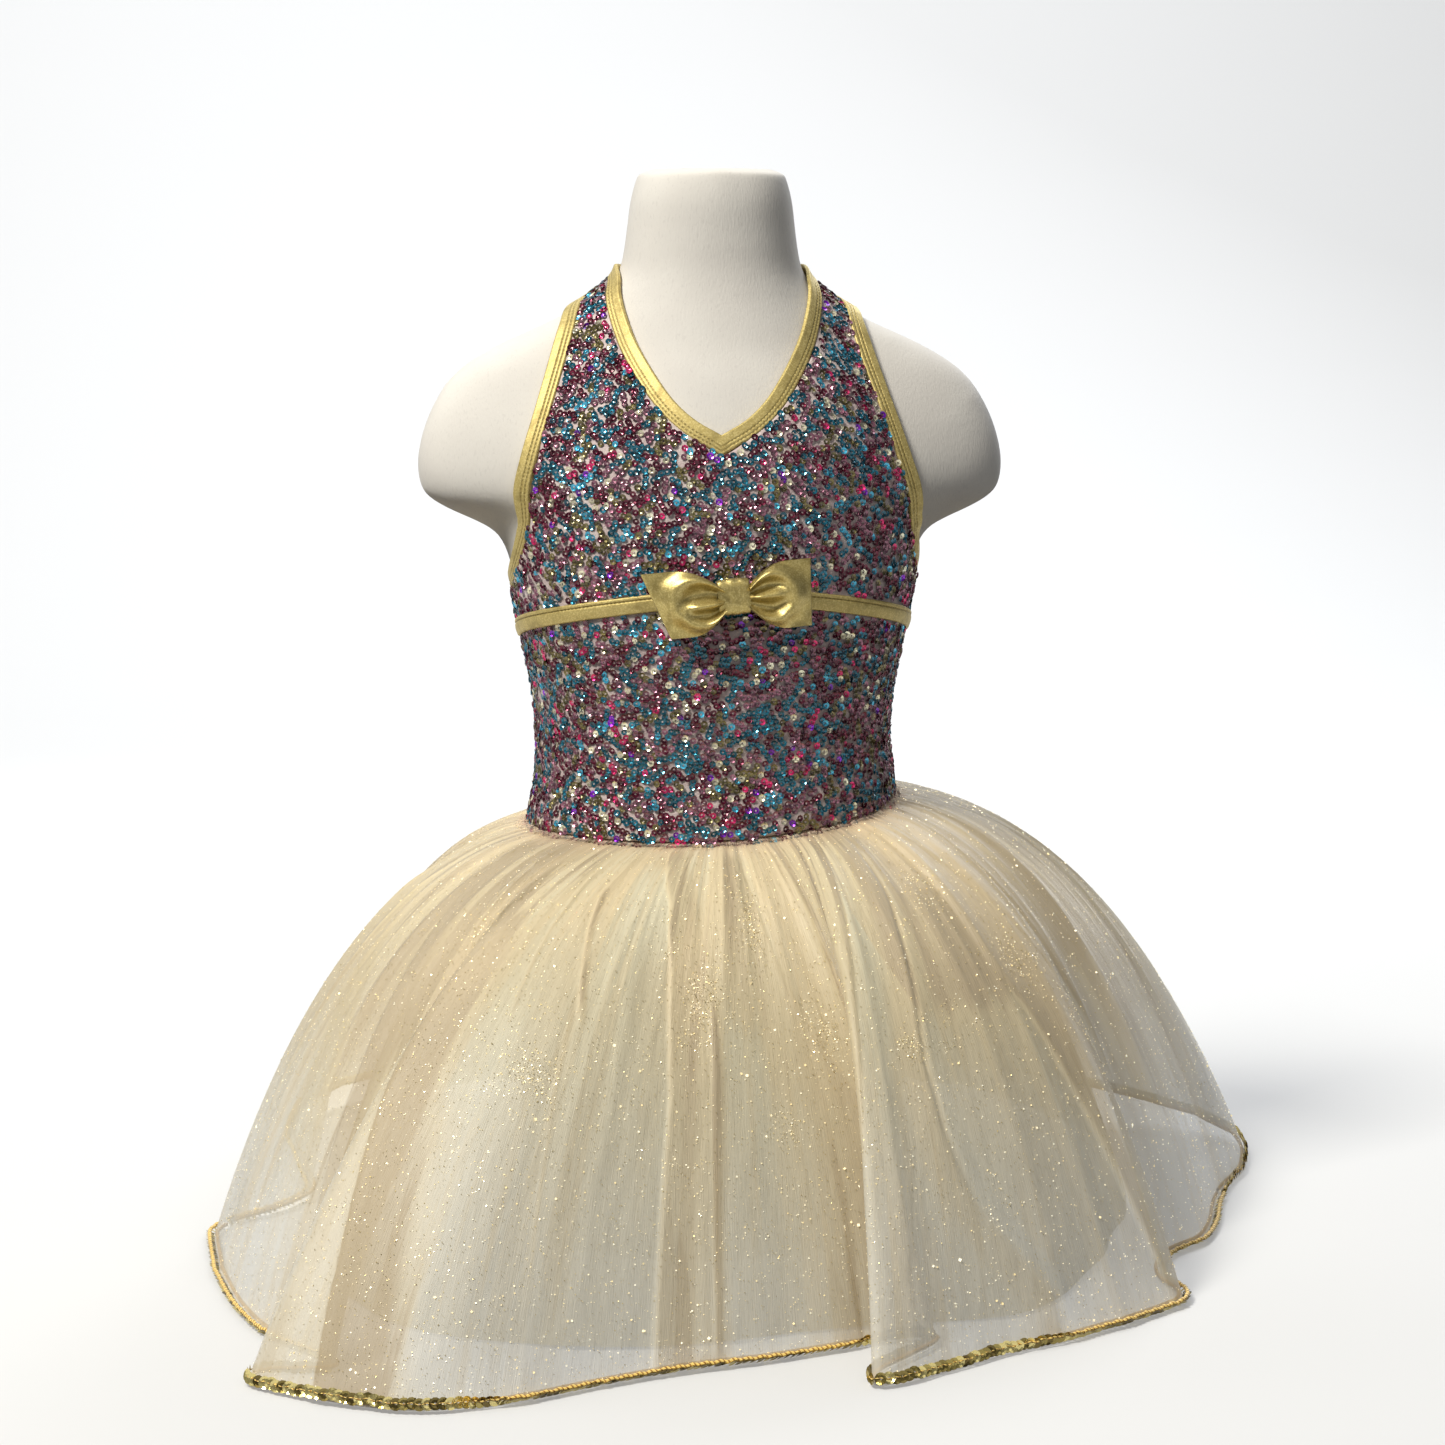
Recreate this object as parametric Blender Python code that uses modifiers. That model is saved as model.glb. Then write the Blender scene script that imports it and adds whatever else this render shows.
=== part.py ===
"""A child's ballet tutu, worn on a limbless dress form.

Metres, +Z up, the front towards -Y. The origin is under the middle of the form's flat underside. The cloth
is laid on the form by angle and height: an angle is measured round the form from the front, positive
towards +X, in degrees, and a height is measured from the floor.
"""

import bisect
import math
from collections import namedtuple

import bmesh
import bpy
import numpy as np
from mathutils import Matrix, Vector

MM = 0.001

# Walls and clearances
CLOTH = 1.0 * MM
STRIP = 1.5 * MM
TRIM = 1.2 * MM
GAP = 0.3 * MM
ON_FORM = 1.1 * MM
FACET = 0.4 * MM
TUCK_CLEARANCE = 1.0 * MM

# Widths and lengths of the sewn pieces
BINDING_WIDTH = 8.0 * MM
RIBBON_WIDTH = 8.0 * MM
HEM_TRIM_WIDTH = 5.5 * MM
TURNED_EDGE = 0.4 * MM
SEAM_TUCK = 4.0 * MM
FLARE_HEIGHT = 20.0 * MM
NECK_ROOT = 400.0 * MM
BOW_HEIGHT = 30.0 * MM
KNOT_SIZE = (15.0 * MM, 18.0 * MM, 8.0 * MM)
KNOT_CORNER = 3.0 * MM
LOOP_PINCH = 14.0 * MM
LOOP_PUFF = 9.0 * MM
LOOP_LAYERS = 3.0 * MM
LOOP_BACK = 2.2 * MM
BOW_ANGLE = 2.0
BOW_TILT = 5.0
BowLoop = namedtuple("BowLoop", "name side upper_reach lower_reach")
BOW_LOOPS = [BowLoop("bow_loop_left", -1, 42.0, 31.0), BowLoop("bow_loop_right", 1, 35.0, 33.0)]

# The form, bottom to top, in millimetres. Its plan is a soft oval, the trunk, joined smoothly to a
# narrower and wider oval, the two shoulder stubs.
FormSection = namedtuple("FormSection", "height over_all trunk_width trunk_depth stub_depth set_back")
FORM_SECTIONS = [
    FormSection(0.0, 88.0, 88.0, 72.0, 30, 0.0),
    FormSection(40.0, 92.0, 92.0, 75.5, 30, 0.0),
    FormSection(85.0, 93.5, 93.5, 76.5, 30, 0.0),
    FormSection(130.0, 90.5, 90.5, 74.0, 30, -1.0),
    FormSection(180.0, 84.0, 84.0, 69.5, 30, -2.0),
    FormSection(222.0, 80.8, 80.8, 67.0, 30, -3.0),
    FormSection(252.0, 81.8, 81.8, 68.0, 30, -3.0),
    FormSection(280.0, 87.0, 87.0, 70.0, 30, -2.0),
    FormSection(300.0, 91.2, 91.2, 71.5, 30, -1.0),
    FormSection(322.0, 95.0, 94.5, 72.0, 30, 0.0),
    FormSection(333.0, 101.0, 94.5, 72.0, 30, 0.0),
    FormSection(340.0, 115.0, 94.0, 71.5, 34, 0.0),
    FormSection(346.0, 131.0, 93.0, 71.0, 38, 0.0),
    FormSection(352.0, 137.2, 92.0, 70.5, 41, 0.0),
    FormSection(363.0, 139.5, 90.0, 69.5, 43, 1.0),
    FormSection(375.0, 138.0, 87.0, 67.5, 42, 2.0),
    FormSection(386.0, 134.4, 82.5, 64.5, 40, 3.0),
    FormSection(397.0, 129.0, 76.0, 60.5, 37, 4.0),
    FormSection(408.0, 119.5, 68.0, 56.0, 34, 5.0),
    FormSection(419.5, 100.6, 59.5, 51.0, 31, 6.0),
    FormSection(430.5, 75.2, 52.5, 47.0, 29, 6.0),
    FormSection(441.5, 55.0, 46.0, 43.5, 29, 6.0),
    FormSection(452.5, 43.0, 42.0, 41.0, 30, 6.0),
    FormSection(474.5, 38.8, 38.8, 38.5, 30, 5.0),
    FormSection(491.0, 36.9, 36.9, 36.6, 30, 4.0),
    FormSection(496.5, 34.7, 34.7, 34.5, 30, 4.0),
    FormSection(499.5, 31.0, 31.0, 30.8, 30, 4.0),
    FormSection(500.0, 28.0, 28.0, 27.8, 30, 4.0),
]
FORM_TOP = FORM_SECTIONS[-1].height * MM
FORM_OVAL = 2.25
STUB_BLEND = 10
# The loft is close where the form bends most: its angles over a quarter, then the top of each stretch of
# its height and the steps in it
FORM_QUARTER = (0, 14, 28, 41, 52, 60, 66.5, 72.5, 78.5, 84)
FORM_STRETCHES = [(180, 3), (290, 6), (330, 3), (356, 4), (400, 5), (464, 13), (496.5, 3), (500, 2)]

# Edges of the worn dress: angle from the front and height in millimetres, the same on both sides
EdgePoint = namedtuple("EdgePoint", "angle height")
NECK_EDGE = [
    EdgePoint(0, 380.0), EdgePoint(10, 386.5), EdgePoint(18.5, 394.5), EdgePoint(28, 406.0),
    EdgePoint(39.5, 419.5), EdgePoint(50, 431.5), EdgePoint(59.5, 441.5), EdgePoint(70, 450.5),
    EdgePoint(88, 455.5), EdgePoint(120, 456.5), EdgePoint(180, 456.0),
]
ARMHOLE_EDGE = [
    EdgePoint(90, 314.0), EdgePoint(83, 319.0), EdgePoint(77, 327.5), EdgePoint(71.5, 341.0),
    EdgePoint(68.6, 354.0), EdgePoint(67.0, 369.0), EdgePoint(67.2, 386.0), EdgePoint(69.0, 403.5),
    EdgePoint(72.0, 418.0), EdgePoint(77, 428.0), EdgePoint(90, 435.5), EdgePoint(120, 438.0),
    EdgePoint(180, 438.5),
]
# How far the dress has turned on the form at each height, in degrees at the centre front
TURNED = [(200.0, 0.0), (310.0, 2.0), (380.0, -2.2), (500.0, -2.2)]
# Heights at the side seams and at the middle: the back's top edge and the ribbon's centre line
BACK_TOP = (314.0 * MM, 296.0 * MM)
RIBBON_LINE = (288.5 * MM, 308.0 * MM)
# The waist seam: its mean height, how much it climbs towards +X, and its dip and where that is lowest
WAIST_SEAM, SEAM_CLIMB, SEAM_DIP, DIP_ANGLE = 203.5 * MM, 7.0 * MM, 6.0 * MM, 15.0
# Rows of the bodice's front: up to the arm, to the point of the V, to the shoulder and to the nape
TRUNK_ROWS, CHEST_ROWS, STRAP_ROWS, NAPE_ROWS = 10, 7, 7, 10
BACK_ROWS = 8

# The hem, seen from above: angle, distance from the middle and height in millimetres. Each row is a
# place where the hem turns. The front runs from the left side seam to the right one, the back goes on.
HemPoint = namedtuple("HemPoint", "angle reach height")
HEM_FRONT = [
    HemPoint(-91, 233, 2), HemPoint(-73, 242, 2), HemPoint(-54, 260, 2), HemPoint(-43, 266, 2),
    HemPoint(-40.5, 274, 2), HemPoint(-45.5, 297, 2), HemPoint(-44.5, 307, 2), HemPoint(-35, 304, 2),
    HemPoint(-28.6, 297, 2), HemPoint(-22.8, 273, 2), HemPoint(-17, 247, 2), HemPoint(-8, 222, 2),
    HemPoint(0, 213, 2), HemPoint(19, 203, 2), HemPoint(21.5, 210, 2), HemPoint(10, 242, 2),
    HemPoint(9, 255, 2), HemPoint(24.6, 239, 2), HemPoint(38, 240, 2), HemPoint(50.5, 247, 2),
    HemPoint(54, 241, 2), HemPoint(57, 228, 2), HemPoint(66, 221, 2), HemPoint(75, 236, 2),
    HemPoint(91, 252, 2),
]
HEM_BACK = [
    HemPoint(91, 252, 2), HemPoint(101, 284, 2), HemPoint(110, 304, 4), HemPoint(119, 290, 12),
    HemPoint(129, 256, 22), HemPoint(142, 246, 24), HemPoint(154, 264, 19), HemPoint(164, 286, 12),
    HemPoint(175, 287, 9), HemPoint(185, 264, 11), HemPoint(195, 250, 16), HemPoint(205, 262, 19),
    HemPoint(215, 287, 20), HemPoint(226, 276, 20), HemPoint(236, 247, 18), HemPoint(247, 215, 10),
    HemPoint(257, 199, 5), HemPoint(264, 211, 3), HemPoint(269, 233, 2),
]
LINING_FRONT = [
    HemPoint(-91, 184, 14), HemPoint(-68, 198, 14), HemPoint(-44, 214, 15), HemPoint(-16, 196, 13),
    HemPoint(12, 177, 14), HemPoint(37, 201, 15), HemPoint(62, 191, 14), HemPoint(91, 204, 14),
]
LINING_BACK = [
    HemPoint(91, 204, 14), HemPoint(115, 216, 16), HemPoint(140, 200, 26), HemPoint(168, 214, 20),
    HemPoint(194, 200, 22), HemPoint(218, 212, 24), HemPoint(242, 184, 20), HemPoint(258, 172, 15),
    HemPoint(269, 184, 14),
]

# A skirt's rows from its seam to its hem, its columns, and how far below the waist seam it bends outward
SkirtCut = namedtuple("SkirtCut", "rows columns seam_drop")
ORGANZA_CUT = SkirtCut((0.0, 0.05, 0.13, 0.25, 0.41, 0.60, 0.80, 1.0), {"front": 76, "back": 62}, 2.2 * MM)
LINING_CUT = SkirtCut((0.0, 0.14, 0.36, 0.66, 1.0), {"front": 28, "back": 26}, 4.2 * MM)
# The skirt's line is a curve led by one point between seam and hem: the shares of the reach and of the
# drop at which that point lies, first at front and back, then at the sides
REACH_SHARE = (0.60, 0.67)
DROP_SHARE = {"organza": (0.12, 0.08), "lining": (0.25, 0.25)}
# Gathers stand out at the seam, and what is left of them at the hem is a share of that
GATHERS = 30
GATHER_DEPTH = 5.0 * MM
GATHER_START = 0.10
GATHER_LEFT = 0.35
FOLD_GROWTH = 1.4
FOLD_SMOOTHING = 80.0 * MM
FOLD_ROUNDING = 5.0 * MM
BEND_SPACING = 18.0 * MM


class SmoothCurve:
    """A smooth curve through rows of x and y that never swings past them."""

    def __init__(self, xs, ys):
        self.xs = [float(x) for x in xs]
        self.ys = [float(y) for y in ys]
        steps = [b - a for a, b in zip(self.xs, self.xs[1:])]
        rises = [(b - a) / step for a, b, step in zip(self.ys, self.ys[1:], steps)]
        self.slopes = [rises[0]]
        for i in range(1, len(self.xs) - 1):
            before, after = rises[i - 1], rises[i]
            slope = 0.0
            if before * after > 0:
                near = 2 * steps[i] + steps[i - 1]
                far = steps[i] + 2 * steps[i - 1]
                slope = (near + far) / (near / before + far / after)
            self.slopes.append(slope)
        self.slopes.append(rises[-1])

    def __call__(self, x):
        x = min(max(x, self.xs[0]), self.xs[-1])
        i = min(max(bisect.bisect_right(self.xs, x) - 1, 0), len(self.xs) - 2)
        step = self.xs[i + 1] - self.xs[i]
        t = (x - self.xs[i]) / step
        start = (1 + 2 * t) * (1 - t) ** 2 * self.ys[i] + t * (1 - t) ** 2 * step * self.slopes[i]
        end = t * t * (3 - 2 * t) * self.ys[i + 1] + t * t * (t - 1) * step * self.slopes[i + 1]
        return start + end


def smoothstep(x):
    x = min(max(x, 0.0), 1.0)
    return x * x * (3 - 2 * x)


# The form's surface, on which all the worn cloth is laid

SECTION_HEIGHTS = [section.height * MM for section in FORM_SECTIONS]
OVER_ALL, TRUNK_WIDTH, TRUNK_DEPTH, STUB_DEPTH, SET_BACK = [
    SmoothCurve(SECTION_HEIGHTS, [section[column] * MM for section in FORM_SECTIONS])
    for column in range(1, len(FormSection._fields))
]
TURN = SmoothCurve([row[0] * MM for row in TURNED], [math.radians(row[1]) for row in TURNED])


def oval_radius(across, along, half_width, half_depth):
    return ((across / half_width) ** FORM_OVAL + (along / half_depth) ** FORM_OVAL) ** (-1 / FORM_OVAL)


def bare_point(angle, height):
    """A point on the form itself, the angle in radians."""
    across, along = abs(math.sin(angle)), abs(math.cos(angle))
    trunk_width = TRUNK_WIDTH(height)
    beyond_trunk = max(OVER_ALL(height) ** STUB_BLEND - trunk_width ** STUB_BLEND, 1e-30)
    trunk = oval_radius(across, along, trunk_width, TRUNK_DEPTH(height))
    stubs = oval_radius(across, along, beyond_trunk ** (1 / STUB_BLEND), STUB_DEPTH(height))
    radius = (trunk ** STUB_BLEND + stubs ** STUB_BLEND) ** (1 / STUB_BLEND)
    return Vector((radius * math.sin(angle), SET_BACK(height) - radius * math.cos(angle), height))


def form_normal(angle, height):
    step = 0.5 * MM
    turn = 0.005
    across = bare_point(angle + turn, height) - bare_point(angle - turn, height)
    upward = bare_point(angle, min(height + step, FORM_TOP)) - bare_point(angle, max(height - step, 0))
    return across.cross(upward).normalized()


def form_point(angle, height, lift=0.0):
    """A point that lies lift off the form."""
    return bare_point(angle, height) + form_normal(angle, height) * lift


def place_of(point):
    """The angle, from the front round to the back, and the height at which a point lies."""
    return abs(math.atan2(point.x, SET_BACK(point.z) - point.y)), point.z


def turned(angle, height):
    """Where a place of the dress lies once the dress has turned a little on the form."""
    return angle + TURN(height) * max(math.cos(angle), 0.0)


def seam_height(angle):
    """The waist seam: higher at the wearer's left, and dipped across the front."""
    dip = max(math.cos(angle - math.radians(DIP_ANGLE)), 0.0) ** 2
    return WAIST_SEAM + SEAM_CLIMB * math.sin(angle) - SEAM_DIP * dip


def bodice_lift(angle, height):
    """The bodice lies on the form. Its lower edge stands off, over the skirt's gathers, and so a little
    do the straps at the root of the neck."""
    above_tuck = height - seam_height(angle) - SEAM_TUCK - TUCK_CLEARANCE
    flare = 2 * (CLOTH + GAP) + FACET
    strap = FACET * smoothstep((height - NECK_ROOT) / FLARE_HEIGHT)
    return ON_FORM + flare * (1 - smoothstep(above_tuck / FLARE_HEIGHT)) + strap


# Objects, materials and the walls of cloth

for old in list(bpy.data.objects):
    bpy.data.objects.remove(old, do_unlink=True)

TUTU = bpy.data.collections.new("ballet_tutu")
bpy.context.scene.collection.children.link(TUTU)


def finish(name, colour, roughness, metallic=0.0):
    material = bpy.data.materials.new(name)
    material.use_nodes = True
    shader = material.node_tree.nodes["Principled BSDF"]
    shader.inputs["Base Color"].default_value = (*colour, 1.0)
    shader.inputs["Roughness"].default_value = roughness
    shader.inputs["Metallic"].default_value = metallic
    material.diffuse_color = (*colour, 1.0)
    return material


def add_object(name, mesh, material):
    thing = bpy.data.objects.new(name, mesh)
    mesh.materials.append(material)
    mesh.shade_smooth()
    TUTU.objects.link(thing)
    return thing


def flat_grid(bm, points):
    """A flat grid whose corners are moved to the points, an array of columns by rows."""
    columns, rows = len(points) - 1, len(points[0]) - 1
    made = bmesh.ops.create_grid(bm, x_segments=columns, y_segments=rows, size=0.5)
    for vert in made["verts"]:
        column = round((vert.co.x + 0.5) * columns)
        row = round((vert.co.y + 0.5) * rows)
        vert.co = points[column][row]


def thicken(thing, thickness):
    """Gives an open surface a wall on its outer side."""
    wall = thing.modifiers.new("wall", "SOLIDIFY")
    wall.thickness = thickness
    wall.offset = 1.0
    wall.use_rim = True


def cloth(name, grids, thickness, material):
    """One piece of cloth, from one grid or from several that share an edge."""
    bm = bmesh.new()
    for points in grids:
        flat_grid(bm, points)
    bmesh.ops.remove_doubles(bm, verts=bm.verts, dist=0.02 * MM)
    mesh = bpy.data.meshes.new(name)
    bm.to_mesh(mesh)
    bm.free()
    thing = add_object(name, mesh, material)
    thicken(thing, thickness)
    return thing


# Dress form: a loft through its sections, with flat ends

def make_form():
    heights = [0.0]
    for top, steps in FORM_STRETCHES:
        start = heights[-1]
        heights += [start + (top * MM - start) * (step + 1) / steps for step in range(steps)]
    half = list(FORM_QUARTER) + [180 - angle for angle in (90,) + FORM_QUARTER[:0:-1]]
    angles = [math.radians(angle) for angle in half + [180 + angle for angle in half]]
    bm = bmesh.new()
    rings = [[bm.verts.new(bare_point(angle, height)) for angle in angles] for height in heights]
    for lower, upper in zip(rings, rings[1:]):
        for side in range(len(angles)):
            after = (side + 1) % len(angles)
            bm.faces.new((lower[side], lower[after], upper[after], upper[side]))
    bm.faces.new(list(reversed(rings[0])))
    bm.faces.new(rings[-1])
    mesh = bpy.data.meshes.new("dress_form")
    bm.to_mesh(mesh)
    bm.free()
    return add_object("dress_form", mesh, finish("form jersey", (0.72, 0.69, 0.66), 0.9))


# Edges of the bodice and the strips that bind them

def edge_places(edge, stretches):
    """Places along an edge table on the side towards +X. A stretch is the share of the length at which
    it ends and its number of steps, and its places are evenly spaced."""
    travelled = [0.0]
    for before, after in zip(edge, edge[1:]):
        start = bare_point(math.radians(before.angle), before.height * MM)
        end = bare_point(math.radians(after.angle), after.height * MM)
        travelled.append(travelled[-1] + (end - start).length)
    angle_at = SmoothCurve(travelled, [math.radians(row.angle) for row in edge])
    height_at = SmoothCurve(travelled, [row.height * MM for row in edge])
    shares = [0.0]
    for end, steps in stretches:
        start = shares[-1]
        shares += [start + (end - start) * (step + 1) / steps for step in range(steps)]
    return [(angle_at(travelled[-1] * share), height_at(travelled[-1] * share)) for share in shares]


def moved_left(places, width):
    """The places of an edge moved to the left of its run, as seen from outside the form."""
    moved = []
    for i, (angle, height) in enumerate(places):
        before = bare_point(*places[max(i - 1, 0)])
        after = bare_point(*places[min(i + 1, len(places) - 1)])
        along = (after - before).normalized()
        leftward = form_normal(angle, height).cross(along)
        moved.append(place_of(bare_point(angle, height) + leftward * width))
    return moved


NECK_PLACES = edge_places(NECK_EDGE, [(0.40, STRAP_ROWS), (1.0, NAPE_ROWS)])
ARMHOLE_PLACES = edge_places(ARMHOLE_EDGE, [(0.20, CHEST_ROWS), (0.42, STRAP_ROWS), (1.0, NAPE_ROWS)])


def neck_line(width):
    """The neck edge moved into the bodice, its first place on the centre line, as a mitre has it."""
    moved = moved_left(NECK_PLACES, -width)
    run = bare_point(*NECK_PLACES[1]) - bare_point(*NECK_PLACES[0])
    drop = width * run.length / run.x
    moved[0] = (0.0, NECK_PLACES[0][1] - drop)
    return moved


def armhole_line(width):
    """The armhole edge moved into the bodice, its first place on the side seam."""
    moved = moved_left(ARMHOLE_PLACES, width)
    moved[0] = (math.radians(90), moved[0][1])
    return moved


def worn(side, place, lift):
    """The point of a place on one side of the worn dress, side being 1 towards +X or -1."""
    angle, height = place
    angle = turned(side * angle, height)
    return form_point(angle, height, lift + bodice_lift(angle, height))


def strip_points(first_line, second_line, side, lift=0.0):
    """A strip between two lines of places, a column of three points for each place."""
    points = []
    for first, second in zip(first_line, second_line):
        middle = ((first[0] + second[0]) / 2, (first[1] + second[1]) / 2)
        points.append([worn(side, place, lift) for place in (first, middle, second)])
    return points


def pull_apart(points, distance=0.8 * GAP):
    """Shortens a run of columns a little at each end, to leave a seam's gap."""
    for end, next_in in ((0, 1), (-1, -2)):
        for row in range(len(points[end])):
            towards = points[next_in][row] - points[end][row]
            points[end][row] = points[end][row] + towards.normalized() * distance
    return points


def make_strip(name, points, thickness, gold):
    strip = cloth(name, [pull_apart(points)], thickness, gold)
    bevel = strip.modifiers.new("turned edges", "BEVEL")
    bevel.width = TURNED_EDGE
    bevel.segments = 1
    bevel.limit_method = "ANGLE"
    bevel.angle_limit = math.radians(50)


def make_bindings(gold):
    """Each strip goes right round: up one side, round the back and down the other side."""
    inner = neck_line(BINDING_WIDTH)
    right, left = [strip_points(inner, NECK_PLACES, side) for side in (1, -1)]
    make_strip("neck_binding", right + left[-2::-1], STRIP, gold)

    inner = armhole_line(BINDING_WIDTH)
    right, left = [strip_points(ARMHOLE_PLACES, inner, side) for side in (1, -1)]
    make_strip("armhole_binding", right + left[-2::-1], STRIP, gold)

    upper = back_places()
    lower = [(angle, height - BINDING_WIDTH) for angle, height in upper]
    make_strip("back_binding", strip_points(lower, upper, 1), STRIP, gold)


# Bodice panels

def back_places(columns=20):
    """The top edge of the back, from the right side seam round to the left one."""
    side, middle = BACK_TOP
    places = []
    for i in range(columns + 1):
        angle = math.radians(90 + 180 * i / columns)
        places.append((angle, middle + (side - middle) * math.sin(angle) ** 2))
    return places


def climb(bottom, top, steps):
    """Heights from the waist seam up: the first step clears the skirt's tuck, and the rest are even."""
    cleared = bottom + SEAM_TUCK + TUCK_CLEARANCE
    return [bottom] + [cleared + (top - cleared) * step / (steps - 1) for step in range(steps)]


def half_front(side, columns=10):
    """One half of the front with its strap. Rows climb from the waist, and each runs from the side seam
    or the armhole to the centre or the neck edge."""
    neck = neck_line(BINDING_WIDTH + FACET)
    armhole = armhole_line(BINDING_WIDTH + FACET)
    seam, bottom = seam_height(side * math.radians(90)), seam_height(0.0)
    outer = [(math.radians(90), height) for height in climb(seam, armhole[0][1], TRUNK_ROWS)[:-1]]
    outer += armhole
    inner = [(0.0, height) for height in climb(bottom, neck[0][1], TRUNK_ROWS + CHEST_ROWS)[:-1]]
    inner += neck
    points = []
    for column in range(columns + 1):
        share = column / columns
        line = []
        for row, (far, near) in enumerate(zip(outer, inner)):
            angle = far[0] + (near[0] - far[0]) * share
            height = far[1] + (near[1] - far[1]) * share
            straight = seam + (bottom - seam) * share
            off_straight = seam_height(side * angle) - straight
            height += off_straight * min(max(1 - (row - 1) / (TRUNK_ROWS - 1), 0.0), 1.0)
            line.append(worn(side, (angle, height), 0.0))
        line[-1].x += side * GAP / 2
        points.append(line)
    for row in range(TRUNK_ROWS + 1):
        points[0][row].y -= GAP / 2
    return points if side < 0 else points[::-1]


def make_bodice(sequin_cloth):
    """The front is both halves, joined down the centre up to the V, and the back is plain."""
    cloth("bodice_front", [half_front(-1), half_front(1)], CLOTH, sequin_cloth)
    points = []
    for angle, top in back_places():
        heights = climb(seam_height(angle), top - BINDING_WIDTH - FACET, BACK_ROWS)
        points.append([worn(1, (angle, height), 0.0) for height in heights])
    cloth("bodice_back", [pull_apart(points)], CLOTH, sequin_cloth)


# Ribbon and bow

def ribbon_place(angle, above_middle=0.0):
    side, middle = RIBBON_LINE
    return angle, side + (middle - side) * math.cos(angle) + above_middle


def make_ribbon(gold, columns=26):
    angles = [math.radians(-90 + 180 * i / columns) for i in range(columns + 1)]
    lower = [ribbon_place(angle, -RIBBON_WIDTH / 2) for angle in angles]
    upper = [ribbon_place(angle, RIBBON_WIDTH / 2) for angle in angles]
    points = strip_points(lower, upper, 1, lift=CLOTH + GAP + FACET)
    make_strip("empire_ribbon", points, TRIM, gold)


def bow_frame():
    """Where the bow is sewn on: x along it, y into the chest and z up, a little tilted."""
    angle, height = ribbon_place(math.radians(BOW_ANGLE))
    inward = -form_normal(angle, height)
    lift = bodice_lift(angle, height) + CLOTH + GAP + FACET + TRIM + GAP
    along = inward.cross(Vector((0, 0, 1))).normalized()
    axes = Matrix((along, inward, along.cross(inward))).transposed().to_4x4()
    tilt = Matrix.Rotation(math.radians(-BOW_TILT), 4, "Y")
    return Matrix.Translation(form_point(angle, height, lift)) @ axes @ tilt


def loop_points(loop, columns=12, rows=4):
    """A strip that leaves the knot, turns back at its outer fold and returns behind itself."""
    start = KNOT_SIZE[0] / 2 + GAP
    middle = (loop.upper_reach + loop.lower_reach) / 2 * MM
    slant = (loop.upper_reach - loop.lower_reach) / 2 * MM
    points = []
    for column in range(columns + 1):
        turn = math.pi * column / columns
        out = math.sin(turn) ** 0.8
        half_height = LOOP_PINCH / 2 + (BOW_HEIGHT - LOOP_PINCH) / 2 * smoothstep(out * 1.15)
        line = []
        for row in range(rows + 1):
            up = 2 * row / rows - 1
            reach = start + (middle + slant * up - start) * out
            puffed = LOOP_LAYERS + LOOP_PUFF * math.sin(turn) * (1 - 0.35 * up * up)
            depth = LOOP_BACK + puffed * (1 + math.cos(turn)) / 2
            line.append(Vector((loop.side * reach, -depth, half_height * up)))
        points.append(line)
    return points if loop.side > 0 else points[::-1]


def make_bow(gold):
    frame = bow_frame()
    for loop in BOW_LOOPS:
        made = cloth(loop.name, [loop_points(loop)], CLOTH, gold)
        made.matrix_world = frame
    bm = bmesh.new()
    bmesh.ops.create_cube(bm, size=1.0)
    width, height, depth = KNOT_SIZE
    bmesh.ops.scale(bm, vec=(width, depth, height), verts=bm.verts)
    bmesh.ops.translate(bm, vec=(0, -depth / 2, 0), verts=bm.verts)
    mesh = bpy.data.meshes.new("bow_knot")
    bm.to_mesh(mesh)
    bm.free()
    knot = add_object("bow_knot", mesh, gold)
    corners = knot.modifiers.new("soft corners", "BEVEL")
    corners.width = KNOT_CORNER
    corners.segments = 3
    knot.matrix_world = frame


# Skirt and underskirt

def plan_point(row):
    angle = math.radians(row.angle)
    return np.array((row.reach * math.sin(angle), -row.reach * math.cos(angle), row.height)) * MM


def smooth_route(rows, before, after, steps=16):
    """A smooth line through the rows, led in and out by one row on each side."""
    points = [plan_point(row) for row in [before] + rows + [after]]
    route = []
    for i in range(1, len(points) - 2):
        p0, p1, p2, p3 = points[i - 1:i + 3]
        knots = [0.0]
        for a, b in ((p0, p1), (p1, p2), (p2, p3)):
            knots.append(knots[-1] + math.sqrt(np.linalg.norm(b - a)))
        for step in range(steps):
            t = knots[1] + (knots[2] - knots[1]) * step / steps
            a1 = (knots[1] - t) / knots[1] * p0 + t / knots[1] * p1
            a2 = ((knots[2] - t) * p1 + (t - knots[1]) * p2) / (knots[2] - knots[1])
            a3 = ((knots[3] - t) * p2 + (t - knots[2]) * p3) / (knots[3] - knots[2])
            b1 = ((knots[2] - t) * a1 + t * a2) / knots[2]
            b2 = ((knots[3] - t) * a2 + (t - knots[1]) * a3) / (knots[3] - knots[1])
            route.append(((knots[2] - t) * b1 + (t - knots[1]) * b2) / (knots[2] - knots[1]))
    route.append(points[-2])
    return np.array(route)


def lengths_along(route):
    steps = np.linalg.norm(np.diff(route, axis=0), axis=1)
    return np.concatenate(([0.0], np.cumsum(steps)))


def softened(route, width):
    """A route whose bends tighter than the width are smoothed out."""
    run = lengths_along(route)
    away = (run[:, None] - run[None, :]) / width
    weight = np.exp(-0.5 * away ** 2) * np.gradient(run)
    return weight @ route / weight.sum(axis=1, keepdims=True)


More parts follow.
